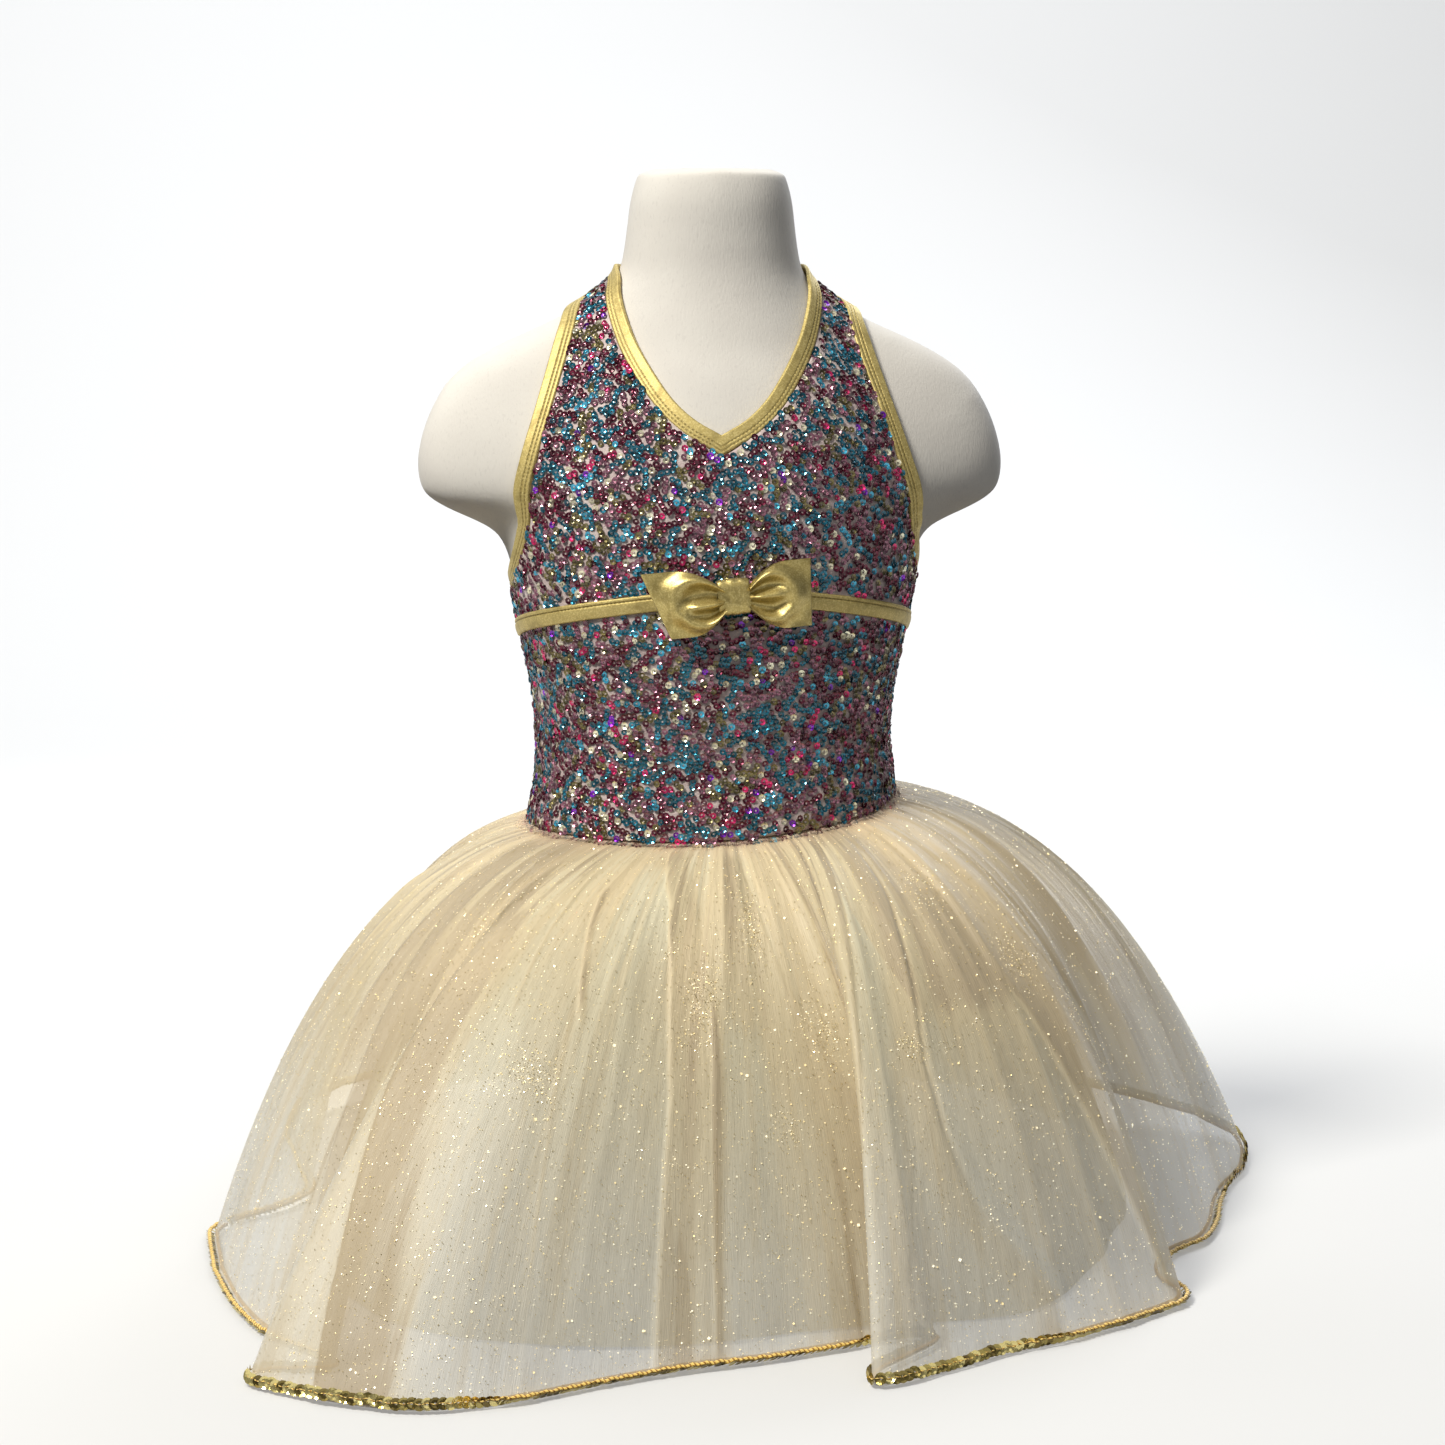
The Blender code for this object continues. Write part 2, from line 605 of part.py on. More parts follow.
class Panel:
    """One half of a skirt: where its hem runs, how far its folds stand off a plain outline, and which
    part of the waist each place of the hem is gathered to."""

    def __init__(self, rows, other_rows, first_angle, columns):
        self.first_angle = math.radians(first_angle)
        rest = smooth_route(other_rows, rows[-2], rows[1])
        ring = np.vstack((rest[:-1], smooth_route(rows, other_rows[-2], other_rows[1]), rest[1:]))
        own = slice(len(rest) - 1, len(ring) - len(rest) + 1)
        whole = softened(ring, FOLD_ROUNDING)[own]
        plain = softened(ring, FOLD_SMOOTHING)[own]
        run = lengths_along(whole)
        heading = np.unwrap(np.arctan2(*np.diff(whole[:, :2], axis=0).T))
        turning = np.concatenate(([0.0], np.abs(np.diff(heading)), [0.0]))
        measure = run + BEND_SPACING * np.cumsum(turning)
        wanted = np.linspace(0.0, measure[-1], columns + 1)
        self.share = np.interp(wanted, measure, run) / run[-1]
        self.hem = np.array([np.interp(wanted, measure, whole[:, axis]) for axis in range(3)]).T
        self.plain = np.array([np.interp(wanted, measure, plain[:, axis]) for axis in range(3)]).T

    def waist_angle(self, column):
        return self.first_angle + math.pi * self.share[column]


def gather(angle):
    """How far a place of the waist stands out in a gather, from 0 to 1, uneven in width and depth."""
    phase = GATHERS * angle + 1.1 * math.sin(3 * angle + 1.0) + 0.7 * math.sin(7 * angle + 0.4)
    depth = 0.75 + 0.25 * math.sin(5 * angle + 2.0)
    return depth * (0.5 + 0.5 * math.cos(phase))


def skirt_column(panel, column, cut, drop_share, lift, gathered):
    """One line of a skirt from its hem up over the waist seam to its tucked upper edge."""
    angle = panel.waist_angle(column)
    seam = seam_height(angle)
    top = form_point(angle, seam + SEAM_TUCK, lift)
    bend = form_point(angle, seam - cut.seam_drop, lift)
    hem, plain = Vector(panel.hem[column]), Vector(panel.plain[column])
    sideways = math.sin(angle) ** 2
    shoulder = REACH_SHARE[0] + (REACH_SHARE[1] - REACH_SHARE[0]) * sideways
    droop = drop_share[0] + (drop_share[1] - drop_share[0]) * sideways
    run = Vector((plain.x - bend.x, plain.y - bend.y, 0))
    drop = hem.z - bend.z
    line = [top]
    for v in cut.rows:
        out = 2 * shoulder * v * (1 - v) + v * v
        down = 2 * droop * v * (1 - v) + v * v
        out_speed = run.length * (2 * shoulder * (1 - 2 * v) + 2 * v)
        down_speed = drop * (2 * droop * (1 - 2 * v) + 2 * v)
        outward = (Vector((0, 0, out_speed)) - run.normalized() * down_speed).normalized()
        fold = (hem - plain) * v ** FOLD_GROWTH
        gathers = gathered * min(v / GATHER_START, 1.0) * (1 - (1 - GATHER_LEFT) * v) * gather(angle)
        place = bend + run * out + Vector((fold.x, fold.y, drop * down))
        line.append(place + outward * gathers)
    return line[::-1]


def skirt_points(panel, *how):
    return [skirt_column(panel, column, *how) for column in range(len(panel.share))]


def trim_points(points):
    """The lowest stretch of a skirt, moved off it to the strand's inner face."""
    strip = []
    for column, line in enumerate(points):
        before = points[max(column - 1, 0)]
        after = points[min(column + 1, len(points) - 1)]
        down = (line[0] - line[1]).normalized()
        outward = (after[0] - before[0]).cross(-down).normalized()
        low = line[0] + outward * (CLOTH + FACET)
        strip.append([low, low - down * HEM_TRIM_WIDTH])
    return strip


def make_skirts(organza, lining, gold_sequins):
    plans = [("front", HEM_FRONT, HEM_BACK, LINING_FRONT, LINING_BACK, -90),
             ("back", HEM_BACK, HEM_FRONT, LINING_BACK, LINING_FRONT, 90)]
    for half, hem, other_hem, inner_hem, other_inner, first_angle in plans:
        panel = Panel(hem, other_hem, first_angle, ORGANZA_CUT.columns[half])
        lift = ON_FORM + CLOTH + GAP
        points = skirt_points(panel, ORGANZA_CUT, DROP_SHARE["organza"], lift, GATHER_DEPTH)
        points = pull_apart(points)
        cloth("skirt_" + half, [points], CLOTH, organza)
        cloth("hem_trim_" + half, [pull_apart(trim_points(points), 3 * GAP)], TRIM, gold_sequins)
        panel = Panel(inner_hem, other_inner, first_angle, LINING_CUT.columns[half])
        points = skirt_points(panel, LINING_CUT, DROP_SHARE["lining"], ON_FORM, 0.0)
        points = pull_apart(points)
        cloth("underskirt_" + half, [points], CLOTH, lining)


GOLD_CLOTH = finish("gold foiled knit", (0.62, 0.44, 0.12), 0.35, 0.8)
make_form()
make_bodice(finish("sequinned net", (0.30, 0.16, 0.24), 0.4))
make_bindings(GOLD_CLOTH)
make_ribbon(GOLD_CLOTH)
make_bow(GOLD_CLOTH)
make_skirts(finish("glitter organza", (0.80, 0.68, 0.47), 0.6),
            finish("ivory lining", (0.82, 0.76, 0.62), 0.7),
            finish("gold cup sequins", (0.50, 0.35, 0.07), 0.25, 0.9))
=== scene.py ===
"""A child's ballet tutu on a limbless dress form, with the looks of every piece.

Metres, +Z up, the front towards -Y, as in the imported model. Cloth that is worn is laid on the form by an
angle round it, from the front and positive towards +X, and a height from the floor.
"""

import math

import bmesh
import bpy
import numpy as np
from mathutils import Matrix, Vector
from mathutils.bvhtree import BVHTree


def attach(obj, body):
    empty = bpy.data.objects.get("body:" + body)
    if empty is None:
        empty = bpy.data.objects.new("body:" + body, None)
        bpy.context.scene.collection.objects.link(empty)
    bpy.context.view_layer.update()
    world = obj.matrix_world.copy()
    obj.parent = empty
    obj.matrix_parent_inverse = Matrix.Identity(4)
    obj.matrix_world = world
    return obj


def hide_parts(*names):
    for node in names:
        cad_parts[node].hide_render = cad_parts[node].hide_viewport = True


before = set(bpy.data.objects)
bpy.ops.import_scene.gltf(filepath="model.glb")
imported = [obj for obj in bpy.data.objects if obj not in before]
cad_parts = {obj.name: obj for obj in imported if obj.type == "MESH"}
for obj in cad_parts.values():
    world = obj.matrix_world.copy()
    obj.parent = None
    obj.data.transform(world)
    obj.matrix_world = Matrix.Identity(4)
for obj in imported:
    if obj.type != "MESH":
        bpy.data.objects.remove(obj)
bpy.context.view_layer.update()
MM = 0.001


# Studio
# A sweep of white paper, lit a little from beneath, in a round pale room. A high window of strong
# daylight is at the viewer's left, with weaker lights at the right and the back. The camera stands a
# metre and a half away, a little left of the dress, and looks slightly down on it.

PAPER_COLOUR, PAPER_GLOW = (0.50, 0.50, 0.50), 0.50
WINDOW_COLOUR, SKY_COLOUR = (1.0, 0.97, 0.89), (0.93, 0.96, 1.0)
CAMERA_DISTANCE, CAMERA_HEIGHT = 1.5, 0.45
CAMERA_TURN, CAMERA_DIP = math.radians(-6.0), math.radians(7.92)
CAMERA_LENS = 79.5
SKY_STRENGTH = 0.14
# The dress stands this many pixels left of the middle of the photograph, which is 1445 wide
OFF_CENTRE, PHOTO_WIDTH = 10.5, 1445
# The paper: how far it reaches to the front and the sides, where it turns up behind, and its height
PAPER_FRONT, PAPER_SIDE, PAPER_BACK, PAPER_BEND, PAPER_TOP = 6.0, 6.0, 1.6, 1.2, 4.5
BEND_STEPS = 12
ROOM_RADIUS, ROOM_SIDES = 5.9, 64
# Name, place, what it is aimed at, size, power in watts and colour
LIGHTS = [("window", (-1.44, -1.06, 2.53), (0, 0, 0.25), 0.7, 98, WINDOW_COLOUR),
          ("fill", (0.6, -1.7, 1.5), (0, 0, 0.15), 1.2, 4, WINDOW_COLOUR),
          ("back light", (1.1, 1.7, 1.6), (0, 0, 0.25), 1.0, 20, SKY_COLOUR),
          ("paper wash", (0, 1.2, 2.4), (0, 2.8, 0.9), 2.0, 62, SKY_COLOUR)]

scene = bpy.context.scene
scene.view_settings.view_transform = "Standard"
scene.cycles.transparent_max_bounces = 16

camera_data = bpy.data.cameras.new("camera")
camera_data.lens = CAMERA_LENS
camera_data.shift_x = OFF_CENTRE / PHOTO_WIDTH
camera = bpy.data.objects.new("camera", camera_data)
camera.location = (CAMERA_DISTANCE * math.sin(CAMERA_TURN), -CAMERA_DISTANCE * math.cos(CAMERA_TURN),
                   CAMERA_HEIGHT)
camera.rotation_euler = (math.radians(90) - CAMERA_DIP, 0, CAMERA_TURN)
scene.collection.objects.link(camera)
scene.camera = camera

paper_finish = bpy.data.materials.new("studio paper")
paper_finish.use_nodes = True
paper_shader = paper_finish.node_tree.nodes["Principled BSDF"]
paper_shader.inputs["Base Color"].default_value = (*PAPER_COLOUR, 1)
paper_shader.inputs["Roughness"].default_value = 0.9
paper_shader.inputs["Emission Color"].default_value = (*PAPER_COLOUR, 1)
paper_shader.inputs["Emission Strength"].default_value = PAPER_GLOW


def backdrop(name, points, faces):
    mesh = bpy.data.meshes.new(name)
    mesh.from_pydata(points, [], faces)
    mesh.shade_smooth()
    mesh.materials.append(paper_finish)
    thing = bpy.data.objects.new(name, mesh)
    scene.collection.objects.link(thing)
    # It throws no light on the dress, as if it lay far off
    thing.visible_diffuse = False
    return thing


bends = [math.radians(90 * step / BEND_STEPS) for step in range(BEND_STEPS + 1)]
sweep = [(-PAPER_FRONT, 0.0)]
sweep += [(PAPER_BACK + PAPER_BEND * math.sin(bend), PAPER_BEND * (1 - math.cos(bend))) for bend in bends]
sweep += [(PAPER_BACK + PAPER_BEND, PAPER_TOP)]
backdrop("paper", [(side, back, height) for back, height in sweep for side in (-PAPER_SIDE, PAPER_SIDE)],
         [(row, row + 1, row + 3, row + 2) for row in range(0, 2 * len(sweep) - 2, 2)])

corners = [2 * math.pi * side / ROOM_SIDES for side in range(ROOM_SIDES)]
room = backdrop("room", [(ROOM_RADIUS * math.cos(turn), ROOM_RADIUS * math.sin(turn), height)
                         for turn in corners for height in (0, PAPER_TOP)],
                [(low, low + 1, (low + 3) % (2 * ROOM_SIDES), (low + 2) % (2 * ROOM_SIDES))
                 for low in range(0, 2 * ROOM_SIDES, 2)])
room.visible_glossy = False

for name, place, target, size, power, colour in LIGHTS:
    lamp = bpy.data.lights.new(name, "AREA")
    lamp.size = size
    lamp.energy = power
    lamp.color = colour
    light = bpy.data.objects.new(name, lamp)
    light.location = place
    light.rotation_euler = (Vector(target) - Vector(place)).to_track_quat("-Z", "Y").to_euler()
    scene.collection.objects.link(light)

scene.world = scene.world or bpy.data.worlds.new("studio")
scene.world.use_nodes = True
daylight = scene.world.node_tree.nodes["Background"]
daylight.inputs["Color"].default_value = (*SKY_COLOUR, 1)
daylight.inputs["Strength"].default_value = SKY_STRENGTH


# Dress form
# A child's half body moulded in a light shell and covered with off-white cotton jersey, drawn tight.
# It has no arms, only rounded stubs, and stands on its cut-off underside.

JERSEY, JERSEY_SHADE = (0.74, 0.71, 0.66), (0.68, 0.645, 0.60)
STITCH_PITCH = 0.9 * MM
SHARP_EDGE = math.radians(60)
# How far back the middle of the form lies at each height
SET_BACK = np.array([(0, 0), (85, 0), (130, -1), (252, -3), (322, 0), (386, 3), (419.5, 6), (452.5, 6),
                     (491, 4), (500, 4)]) * MM


class Socket:
    """A value that a node gives. An expression on it adds Math nodes."""

    def __init__(self, finish, link):
        self.finish = finish
        self.link = link

    def maths(self, operation, *values):
        return self.finish.node("ShaderNodeMath", {"operation": operation}, *values)

    def __add__(self, other):
        return self.maths("ADD", self, other)

    def __radd__(self, other):
        return self.maths("ADD", other, self)

    def __sub__(self, other):
        return self.maths("SUBTRACT", self, other)

    def __rsub__(self, other):
        return self.maths("SUBTRACT", other, self)

    def __mul__(self, other):
        return self.maths("MULTIPLY", self, other)

    def at_most(self, other):
        return self.maths("MINIMUM", self, other)

    def above(self, edge, softness):
        """0 below an edge and 1 above it, with a ramp of that softness on each side."""
        settings = {"interpolation_type": "SMOOTHSTEP"}
        return self.finish.node("ShaderNodeMapRange", settings, self, edge - softness, edge + softness)

    def waves(self, pitch):
        """A wave from 0 to 1 along a length."""
        return self.maths("SINE", self * (2 * math.pi / pitch)) * 0.5 + 0.5


class Finish:
    """A material: its shader, set from constants, and the nodes that feed it."""

    def __init__(self, name, **constants):
        self.material = bpy.data.materials.new(name)
        self.material.use_nodes = True
        self.tree = self.material.node_tree
        self.shader = self.tree.nodes["Principled BSDF"]
        for socket, value in constants.items():
            self.shader.inputs[socket.replace("_", " ")].default_value = value

    def node(self, kind, settings, *values, out=0):
        """Adds a node: its settings, then the values or links of its sockets, None for one left alone."""
        made = self.tree.nodes.new(kind)
        for name, value in settings.items():
            setattr(made, name, value)
        for socket, value in zip([socket for socket in made.inputs if socket.enabled], values):
            if isinstance(value, Socket):
                self.tree.links.new(value.link, socket)
            elif value is not None:
                socket.default_value = value
        return Socket(self, [socket for socket in made.outputs if socket.enabled][out])

    def feed(self, socket, value):
        self.tree.links.new(value.link, self.shader.inputs[socket])

    def mix(self, share, first, second):
        """A colour between two, each given as a socket or as red, green and blue."""
        first, second = [c if isinstance(c, Socket) else (*c, 1.0) for c in (first, second)]
        return self.node("ShaderNodeMix", {"data_type": "RGBA"}, share, first, second)

    def noise(self, scale, detail=2.0, roughness=0.5, stretch=(1, 1, 1)):
        """Noise through the room, scale lumps to a metre, its pattern squeezed along each axis."""
        place = self.node("ShaderNodeTexCoord", {}, out=3)
        place = self.node("ShaderNodeVectorMath", {"operation": "MULTIPLY"}, place, stretch)
        return self.node("ShaderNodeTexNoise", {}, place, scale, detail, roughness)

    def cloth_noise(self, across, along, detail=1.0, roughness=0.5):
        """Noise on the cut cloth, given in lumps to a metre across it and along it."""
        place = self.node("ShaderNodeUVMap", {"uv_map": "cloth"})
        place = self.node("ShaderNodeVectorMath", {"operation": "MULTIPLY"}, place, (across, along, 1.0))
        return self.node("ShaderNodeTexNoise", {}, place, 1.0, detail, roughness)

    def across_and_along(self):
        """The place on the cut cloth, in metres across it and along it."""
        place = self.node("ShaderNodeUVMap", {"uv_map": "cloth"})
        return [self.node("ShaderNodeSeparateXYZ", {}, place, out=axis) for axis in (0, 1)]

    def relief(self, height, depth):
        """Feeds a relief from 0 to 1 to the normal, its depth in metres."""
        self.feed("Normal", self.node("ShaderNodeBump", {}, 1.0, depth, None, height))


def refined(node, name):
    """A finer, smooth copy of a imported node, its sharp edges kept."""
    bm = bmesh.new()
    bm.from_mesh(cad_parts[node].data)
    bmesh.ops.remove_doubles(bm, verts=bm.verts, dist=0.001 * MM)
    bmesh.ops.join_triangles(bm, faces=bm.faces, angle_face_threshold=math.radians(25),
                             angle_shape_threshold=math.radians(180))
    crease = bm.edges.layers.float.new("crease_edge")
    for edge in bm.edges:
        if edge.calc_face_angle(0.0) > SHARP_EDGE:
            edge[crease] = 1.0
    coarse = bpy.data.meshes.new(name)
    bm.to_mesh(coarse)
    bm.free()
    thing = bpy.data.objects.new(name, coarse)
    scene.collection.objects.link(thing)
    finer = thing.modifiers.new("finer", "SUBSURF")
    finer.levels = finer.render_levels = 2
    thing.data = bpy.data.meshes.new_from_object(thing.evaluated_get(bpy.context.evaluated_depsgraph_get()))
    thing.modifiers.clear()
    thing.data.shade_smooth()
    return thing


def tree_of(*things):
    """A search tree over the faces of meshes whose objects stand at the origin."""
    points, faces = [], []
    for thing in things:
        start = len(points)
        points += [vert.co.copy() for vert in thing.data.vertices]
        faces += [[start + index for index in face.vertices] for face in thing.data.polygons]
    return BVHTree.FromPolygons(points, faces)


def dress(thing, finish, slot, *nodes):
    """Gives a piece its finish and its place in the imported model."""
    thing.data.materials.clear()
    thing.data.materials.append(finish.material)
    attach(thing, "root")
    if nodes:
        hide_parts(*nodes)


jersey = Finish("cotton jersey", Roughness=0.92, Sheen_Weight=0.25, Sheen_Roughness=0.5)
tone = jersey.mix(jersey.noise(14.0, 3.0, 0.6).above(0.5, 0.22), JERSEY, JERSEY_SHADE)
fleck = jersey.noise(900.0, 1.0, stretch=(1, 1, 0.35))
jersey.feed("Base Color", jersey.mix(fleck.above(0.66, 0.05) * 0.16, tone, (0.45, 0.42, 0.40)))
ribs = jersey.noise(1 / STITCH_PITCH, stretch=(1, 1, 0.25))
jersey.relief(ribs * 0.6 + jersey.noise(45.0) * 0.8, 0.22 * MM)

form = refined("dress_form", "form_cover")
dress(form, jersey, "form_jersey", "dress_form")
form_tree = tree_of(form)


def set_back(height):
    return np.interp(height, SET_BACK[:, 0], SET_BACK[:, 1])


def on_form(angle, height, lift=0.0):
    """The point at an angle round the form and a height, lifted off its surface, and the outward normal."""
    start = Vector((0, set_back(height), height))
    hit, normal, _, _ = form_tree.ray_cast(start, (math.sin(angle), -math.cos(angle), 0))
    return hit + normal * lift, normal


# Lining
# A short underskirt of ivory voile, two panels gathered a little at the waist and sewn at the sides. It
# hangs inside the organza, and its plain hem ends a few centimetres above it.

# The waist seam: its mean height, how much it climbs towards +X, its dip and where that is lowest
WAIST_SEAM, SEAM_CLIMB, SEAM_DIP, DIP_ANGLE = 203.5 * MM, 7.0 * MM, 6.0 * MM, math.radians(15)
SEAM_TUCK = 4.0 * MM
# Cloth is this thick, its layers are this far apart, and the innermost stands this far off the form
CLOTH, GAP, ON_FORM = 1.0 * MM, 0.3 * MM, 1.1 * MM
# A hem seen from above: angle, distance from the middle and height, a row for each place where it turns
LINING_FRONT = [(-91, 184, 6), (-68, 198, 3), (-44, 216, 1.5), (-16, 200, 1.5), (12, 181, 1.5),
                (37, 204, 1.5), (62, 194, 3), (91, 204, 6)]
LINING_BACK = [(91, 204, 6), (115, 216, 16), (140, 200, 26), (168, 214, 20), (194, 200, 22),
               (218, 212, 24), (242, 184, 20), (258, 172, 15), (269, 184, 6)]
LINING_COLUMNS, LINING_ROWS = 150, 40
# How far below the seam the lining turns outwards from the form
LINING_BEND = 4.2 * MM
# Rows of points lie closer together towards the waist
ROW_CROWDING = 1.15
# How far out a skirt sets off from the waist, as a share of its reach: at the front and back, at the sides
SHOULDER = (0.60, 0.67)
# Hems are rounded over the first length. Their folds stand off an outline smoothed over the second, and
# grow with this power of the share down the cloth
FOLD_ROUNDING, FOLD_SMOOTHING, FOLD_GROWTH = 5.0 * MM, 80.0 * MM, 1.4


def seam_height(angle):
    dip = max(math.cos(angle - DIP_ANGLE), 0.0) ** 2
    return WAIST_SEAM + SEAM_CLIMB * math.sin(angle) - SEAM_DIP * dip


def blend(t, start, end, first, last):
    """The point that a run from first, at start, to last, at end, has reached at t."""
    return ((end - t) * first + (t - start) * last) / (end - start)


def smooth_route(points, steps):
    """A smooth line through all the points but the first and last, which only lead it in and out."""
    points = np.asarray(points, float)
    route = []
    for p0, p1, p2, p3 in zip(points, points[1:], points[2:], points[3:]):
        k1, k2, k3 = np.cumsum([math.sqrt(np.linalg.norm(b - a)) for a, b in ((p0, p1), (p1, p2), (p2, p3))])
        for t in np.linspace(k1, k2, steps, endpoint=False):
            middle = blend(t, k1, k2, p1, p2)
            before = blend(t, 0, k2, blend(t, 0, k1, p0, p1), middle)
            after = blend(t, k1, k3, middle, blend(t, k2, k3, p2, p3))
            route.append(blend(t, k1, k2, before, after))
    return np.array(route + [points[-2]])


def lengths_along(route):
    return np.concatenate(([0.0], np.cumsum(np.linalg.norm(np.diff(route, axis=0), axis=1))))


def at_lengths(wanted, run, line):
    """Points of a line at wanted lengths, from the length to each of its points."""
    return np.array([np.interp(wanted, run, line[:, axis]) for axis in range(3)]).T


def softened(ring, width):
    """A ring with each point drawn towards its neighbours, over about that width."""
    run = lengths_along(ring)
    weight = np.exp(-0.5 * ((run[:, None] - run[None, :]) / width) ** 2) * np.gradient(run)
    return weight @ ring / weight.sum(axis=1, keepdims=True)


def plan_points(hem):
    """Points of a hem, in metres, from its angles in degrees and its distances and heights in mm."""
    angle, reach, height = np.array(hem, float).T
    angle = np.radians(angle)
    return np.array((reach * np.sin(angle), -reach * np.cos(angle), height)).T * MM


def shares_down(rows):
    return np.linspace(0, 1, rows + 1)[None, :] ** ROW_CROWDING


class SkirtPanel:
    """Half a skirt from hem to waist: places on its hem, the plain outline that its folds stand off, and
    the place of the waist that each is gathered to."""

    def __init__(self, hem, other_hem, first_angle, columns):
        own, other = plan_points(hem), plan_points(other_hem)
        rest = smooth_route(np.vstack((own[-2], other, own[1])), 16)
        whole = smooth_route(np.vstack((other[-2], own, other[1])), 16)
        ring = np.vstack((rest[:-1], whole, rest[1:]))
        part = slice(len(rest) - 1, len(rest) - 1 + len(whole))
        turning, plain = [softened(ring, width)[part] for width in (FOLD_ROUNDING, FOLD_SMOOTHING)]
        run = lengths_along(turning)
        wanted = np.linspace(0, run[-1], columns + 1)
        self.length = run[-1]
        self.hem, self.plain = at_lengths(wanted, run, turning), at_lengths(wanted, run, plain)
        self.angle = math.radians(first_angle) + math.pi * wanted / run[-1]

    def grid(self, rows, seam_drop, drop_share, lift, relief):
        """The panel's points, columns by rows from its tucked upper edge down, and the length down the
        cloth to each. relief gives how far the cloth stands out at each column and row."""
        seam = [seam_height(angle) for angle in self.angle]
        top = np.array([on_form(a, s + SEAM_TUCK, lift)[0] for a, s in zip(self.angle, seam)])
        bend = np.array([on_form(a, s - seam_drop, lift)[0] for a, s in zip(self.angle, seam)])
        sideways = np.sin(self.angle)[:, None] ** 2
        shoulder = SHOULDER[0] + (SHOULDER[1] - SHOULDER[0]) * sideways
        droop = drop_share[0] + (drop_share[1] - drop_share[0]) * sideways
        # Each column runs from the bend to the hem in a quadratic curve, and relief stands off square to it
        v = shares_down(rows)
        run = self.plain[:, :2] - bend[:, :2]
        reach = np.linalg.norm(run, axis=1)[:, None]
        way = run / reach
        drop = (self.hem[:, 2] - bend[:, 2])[:, None]
        curves = (reach, shoulder), (drop, droop)
        out, down = [whole * (2 * share * v * (1 - v) + v * v) for whole, share in curves]
        out_speed, down_speed = [whole * (2 * share * (1 - 2 * v) + 2 * v) for whole, share in curves]
        speed = np.hypot(out_speed, down_speed)
        stand = relief(self.angle[:, None], v)
        fold = (self.hem - self.plain)[:, None, :2] * v[..., None] ** FOLD_GROWTH
        across = way[:, None, :] * (out - down_speed / speed * stand)[..., None]
        flat = bend[:, None, :2] + across + fold
        height = bend[:, 2][:, None] + down + out_speed / speed * stand
        points = np.concatenate((flat, height[..., None]), axis=2)
        points = np.concatenate((top[:, None, :], points), axis=1)
        steps = np.linalg.norm(np.diff(points, axis=1), axis=2)
        travelled = np.concatenate((np.zeros((len(points), 1)), np.cumsum(steps, axis=1)), axis=1)
        return points, travelled


def mapped_mesh(name, points, faces, spots):
    """An object of points and faces, with a spot on its UV map for each point."""
    mesh = bpy.data.meshes.new(name)
    mesh.from_pydata(points.reshape(-1, 3).tolist(), [], faces.tolist())
    mesh.uv_layers.new(name="cloth").data.foreach_set("uv", spots[faces.ravel()].ravel())
    thing = bpy.data.objects.new(name, mesh)
    scene.collection.objects.link(thing)
    return thing


def grid_mesh(name, points, across, along_it):
    """A smooth sheet of columns by rows of points, mapped in metres of cloth. A single length stands for
    even steps up to it."""
    columns, rows = points.shape[:2]
    index = np.arange(columns * rows).reshape(columns, rows)
    corners = [index[:-1, :-1], index[:-1, 1:], index[1:, 1:], index[1:, :-1]]
    if np.ndim(across) == 0:
        across = np.linspace(0, across, columns)[:, None]
    if np.ndim(along_it) == 0:
        along_it = np.linspace(0, along_it, rows)
    spots = np.empty((columns, rows, 2))
    spots[..., 0], spots[..., 1] = across, along_it
    thing = mapped_mesh(name, points, np.stack(corners, axis=-1).reshape(-1, 4), spots.reshape(-1, 2))
    thing.data.shade_smooth()
    return thing


def lining_relief(angle, v):
    """Soft, shallow folds that grow towards the hem."""
    folds = np.cos(17 * angle + 1.3 * np.sin(2 * angle)) + 0.6 * np.cos(29 * angle + 2.0 * np.sin(3 * angle))
    return 1.3 * MM * (v ** 0.7) * folds


voile = Finish("ivory voile", Roughness=0.7, Sheen_Weight=0.2, Alpha=0.86)
tone = voile.mix(voile.cloth_noise(26.0, 5.0, 2.0).above(0.5, 0.25), (0.87, 0.82, 0.62), (0.79, 0.71, 0.50))
thread = voile.cloth_noise(2400.0, 130.0)
voile.feed("Base Color", voile.mix(thread * 0.25, tone, (0.55, 0.48, 0.36)))
voile.relief(thread + voile.cloth_noise(60.0, 9.0, 2.0) * 2.0, 0.25 * MM)

for half, panel in (("front", SkirtPanel(LINING_FRONT, LINING_BACK, -90, LINING_COLUMNS)),
                    ("back", SkirtPanel(LINING_BACK, LINING_FRONT, 90, LINING_COLUMNS))):
    points, down_cloth = panel.grid(LINING_ROWS, LINING_BEND, (0.25, 0.25), ON_FORM, lining_relief)
    lining = grid_mesh("lining_" + half, points, panel.length, down_cloth)
    dress(lining, voile, "lining", "underskirt_" + half)
